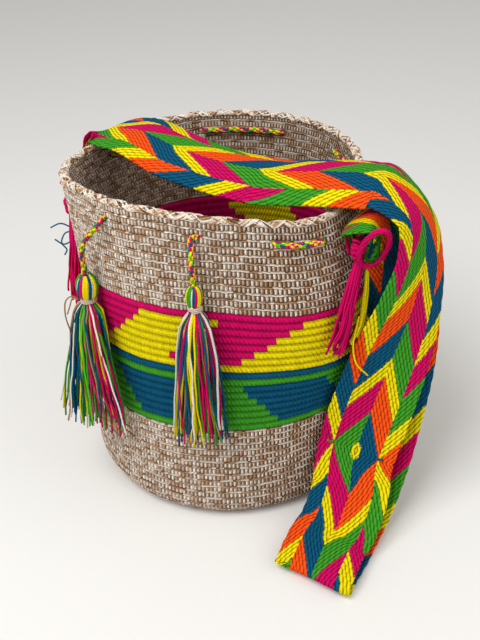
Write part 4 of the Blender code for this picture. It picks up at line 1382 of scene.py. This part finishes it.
# %% Fringes
FRINGE_RADIUS = 8.0
FRINGE_YARN_RADIUS = 0.95


def make_fringe(name, node, route, yarns, colours, seed, spread):
    """Loose yarns along a route, bunched at its start and spread at its end."""
    draw = np.random.default_rng(seed)
    line = through(route, 3.5)
    _, first, second = carried_frames(line)
    share = np.linspace(0.0, 1.0, len(line))
    strands = []
    for k in range(yarns):
        angle = math.tau * k * GOLDEN_SHARE
        out = math.sqrt((k + 0.5) / yarns)
        wave = draw.uniform(0.0, math.tau)
        reach = np.interp(share, (0.0, 0.3, 1.0), (0.35, 0.6, 1.0)) * spread * out
        sway = (1.6 * np.sin(wave + 5.0 * share) + 0.7 * np.sin(3.0 * wave + 19.0 * share)) * share
        path = line + wound(first, second, angle + 0.4 * share) * reach[:, None] + first * sway[:, None]
        kept = max(4, round(len(line) * draw.uniform(0.78, 1.0)))
        colour = colours[k % len(colours)] * draw.uniform(0.88, 1.08)
        strands.append((path[:kept], FRINGE_YARN_RADIUS, colour))
    hand_over(spin(name, strands), "bag", node)


gap = DOWN * (SEAT + KNOT_RADIUS)
root = DOWN * 5.0
make_fringe("right_fringe_yarn", "right_strap_fringe",
            [right_knot + gap * 0.8, right_knot + gap + root, by_wall(-50.5, 62.0, 14.0),
             by_wall(-53.5, 88.0, 12.0), by_wall(-57.0, 112.0, 11.0)],
            30, (MAGENTA, MAGENTA, MAGENTA * 0.75), 33, FRINGE_RADIUS)
make_fringe("left_fringe_yarn", "left_strap_fringe",
            [left_knot + gap * 0.8, left_knot + gap + root, by_wall(172.0, 88.0, 11.0),
             by_wall(177.0, 118.0, 11.5), by_wall(180.0, 144.0, 11.0)],
            26, (MAGENTA, MAGENTA * 0.8, from_screen(214, 20, 60)), 34, 0.9 * FRINGE_RADIUS)

# %% [markdown]
# At the right a ring of four magenta yarns stands up beside the knot, and the ends of the strap's own
# green and teal cords are bunched inside it, their colours darkened as painted shade.

# %% Yarn loop
LOOP_HALF_WIDTH = 10.5
LOOP_HALF_HEIGHT = 18.0
LOOP_SHADES = (0.9, 1.0, 1.1, 0.95)
END_YARNS = 26
# green and teal yarn ends, darkened as painted shade for the inside of the ring
END_COLOURS_IN_PAINTED_SHADE = (GREEN * 0.35, TEAL * 0.4, GREEN * 0.65)
END_REACH = (7.0, 2.5, 14.0)
END_BEND = (6.0, 2.0, 12.0)
loop_out, loop_along = outward(RIGHT_LASHING), sideways(RIGHT_LASHING)


def make_yarn_loop():
    """The ring of magenta yarns beside the right knot, with the strap's green yarns inside it in painted
    shade.
    """
    turns = np.linspace(-0.05, 1.05, 60) * math.tau + math.pi
    middle = right_knot + RIGHT * 6.5 + UP * 1.0 + loop_out * 3.5
    ring = middle + np.outer(np.cos(turns) * LOOP_HALF_WIDTH, RIGHT)
    ring = ring + np.outer(np.sin(turns) * LOOP_HALF_HEIGHT, UP)
    ring = ring + np.outer(1.5 * np.cos(turns) + 6.0 * np.sin(turns) + 2.5, loop_out)
    ring = ring + np.outer(1.0 - np.cos(turns), RIGHT * 3.0 - loop_along * 4.0)
    _, first, second = carried_frames(ring)
    strands = []
    for k, shade in enumerate(LOOP_SHADES):
        twist = turns * 2.5 + math.tau * k / len(LOOP_SHADES)
        strands.append((ring + wound(first, second, twist) * 1.25, 1.2, MAGENTA * shade))
    hand_over(spin("right_loop_yarn", strands), "bag", "right_yarn_loop")
    draw = np.random.default_rng(41)
    bunch = []
    for k in range(END_YARNS):
        start = draw.uniform(-1.0, 1.0, 3) * END_REACH
        finish = draw.uniform(-1.0, 1.0, 3) * END_REACH
        bend = draw.uniform(-1.0, 1.0, 3) * END_BEND
        points = [middle - loop_out * 0.5 - UP * 1.0 + p for p in (start, bend, finish)]
        bunch.append((through(points, 2.0), 1.7, END_COLOURS_IN_PAINTED_SHADE[k % len(END_COLOURS_IN_PAINTED_SHADE)]))
    hand_over(spin("right_end_yarns_painted_shade", bunch), "bag")


make_yarn_loop()

# %% [markdown]
# The yellow cord is tied in beside the right knot. It is made as a thin fringe of eight yarns, and it
# hangs further out from the wall than the magenta one.

# %% Yellow cord
YELLOW_CORD_RADIUS = 2.2
cord_top = right_knot - UP * (0.75 * KNOT_RADIUS)
cord_top = cord_top + loop_along * (0.7 * KNOT_RADIUS + SEAT + YELLOW_CORD_RADIUS)
make_fringe("right_yellow_cord_yarn", "right_yellow_cord",
            [cord_top, cord_top + root + loop_out * 2.0, by_wall(-45.0, 60.0, 19.0),
             by_wall(-48.0, 84.0, 17.0), by_wall(-51.5, 106.0, 13.0)],
            8, (YELLOW, YELLOW * 0.85), 35, YELLOW_CORD_RADIUS)

# %% [markdown]
# A few single yarns have worked loose: teal ones at the left edge, a long yellow one below the yellow
# cord, the two ends of the left tassel's binding and two short ones on the middle of the strap. They
# are drawn by a few moves to the right, up and out from the place where each leaves the bag.

# %% Loose threads
def thread(start, moves, radius, colour):
    """One thread through points given by moves to the right, up and out from its start."""
    out = outward(170.0)
    return through([start + RIGHT * x + UP * z + out * y for x, z, y in moves], 2.0), radius, colour


def add_threads(name, strands, body):
    """A few single yarns as one piece."""
    hand_over(spin(name, strands, sides=5), body)


thread_start = left_knot + DOWN * 30.0 - RIGHT * 4.0
add_threads("left_teal_threads", [
    thread(thread_start, ((3, 0, 0), (-9, 7, 0), (-20, 3, 0)), 0.8, TEAL * 1.5),
    thread(thread_start, ((0, -2, 0), (-7, -4, 0), (-12, -14, 0), (-8, -22, 0), (-11, -28, 0)),
           0.8, TEAL * 1.5),
    thread(thread_start, ((0, -12, 0), (-10, -16, 0), (-18, -10, 0)), 0.8, TEAL * 1.5),
    thread(thread_start, ((0, -14, 0), (8, -40, -2), (9, -56, 0)), 0.8, TEAL * 1.2),
], "bag")

long_yarn = through([by_wall(-48.5, 78.0, 17.0), by_wall(-52.0, 100.0, 19.0), by_wall(-52.5, 116.0, 25.0),
                     by_wall(-49.5, 130.0, 31.0)], 2.0)
add_threads("right_yellow_yarn", [(long_yarn, 0.75, YELLOW)], "bag")

tie = left_tassel.middle(left_tassel.head_length + 1.0)[0] - np.array((6.0, 0.0, 0.0))
add_threads("left_tie_ends", [
    thread(tie, ((-3, 0, 0), (-9, 3, 0), (-15, -3, 0), (-17, -18, 0), (-15, -34, 0)), 0.7, 0.8 * TAN),
    thread(tie, ((-3, -1, 0), (-8, 1, 0), (-12, -8, 0), (-15, -15, 0)), 0.7, TAN),
], "left_hanging")

places, width, face, _, _, half, along = strap_samples()
middle = int(np.argmin(np.abs(along)))
middle_threads = []
for way, colour in ((-1.0, GREEN), (1.0, TEAL)):
    root = places[middle] + width[middle] * (way * 0.62 * half[middle]) + face[middle] * 1.4
    line = through([root, root + face[middle] * 3.0 + RIGHT * (1.5 * way) + UP * 0.5,
                    root + face[middle] * 3.6 + RIGHT * (4.5 * way) + UP * (2.5 - 1.0 * way)], 1.0)
    middle_threads.append((line, 0.9, colour))
add_threads("strap_middle_threads", middle_threads, "bag")

# %% [markdown]
# The bag stands on a plain pale floor under soft light. One broad lamp comes from the upper left, as
# in the room where the bag stood, and the pale world fills the shadows.

# %% Floor and light
FLOOR_COLOUR = (0.80, 0.79, 0.77, 1.0)
ROOM_COLOUR = (0.98, 0.97, 0.95, 1.0)
ROOM_STRENGTH = 0.55
bpy.ops.mesh.primitive_plane_add(size=8.0, location=(0.0, 1.0, -0.0002))
floor = bpy.context.object
floor.name = "floor"
paint = bpy.data.materials.new("pale_floor")
paint.use_nodes = True
paint_shader = paint.node_tree.nodes["Principled BSDF"]
paint_shader.inputs["Base Color"].default_value = FLOOR_COLOUR
paint_shader.inputs["Roughness"].default_value = 0.9
floor.data.materials.append(paint)


def lamp(name, place, target, size, power):
    """A broad soft lamp that looks at a point."""
    bpy.ops.object.light_add(type="AREA", location=place)
    light = bpy.context.object
    light.name = name
    light.data.size = size
    light.data.energy = power
    light.rotation_euler = (Vector(target) - Vector(place)).to_track_quat("-Z", "Y").to_euler()


lamp("key", (-0.7, -0.7, 1.7), (0.0, 0.0, 0.15), 1.1, 26.0)
lamp("fill", (1.2, -0.6, 1.1), (0.0, 0.0, 0.15), 1.4, 6.0)
world = bpy.data.worlds.new("room")
world.use_nodes = True
world.node_tree.nodes["Background"].inputs["Color"].default_value = ROOM_COLOUR
world.node_tree.nodes["Background"].inputs["Strength"].default_value = ROOM_STRENGTH
bpy.context.scene.world = world
bpy.context.scene.view_settings.view_transform = "Standard"
print("floor and lamps placed")
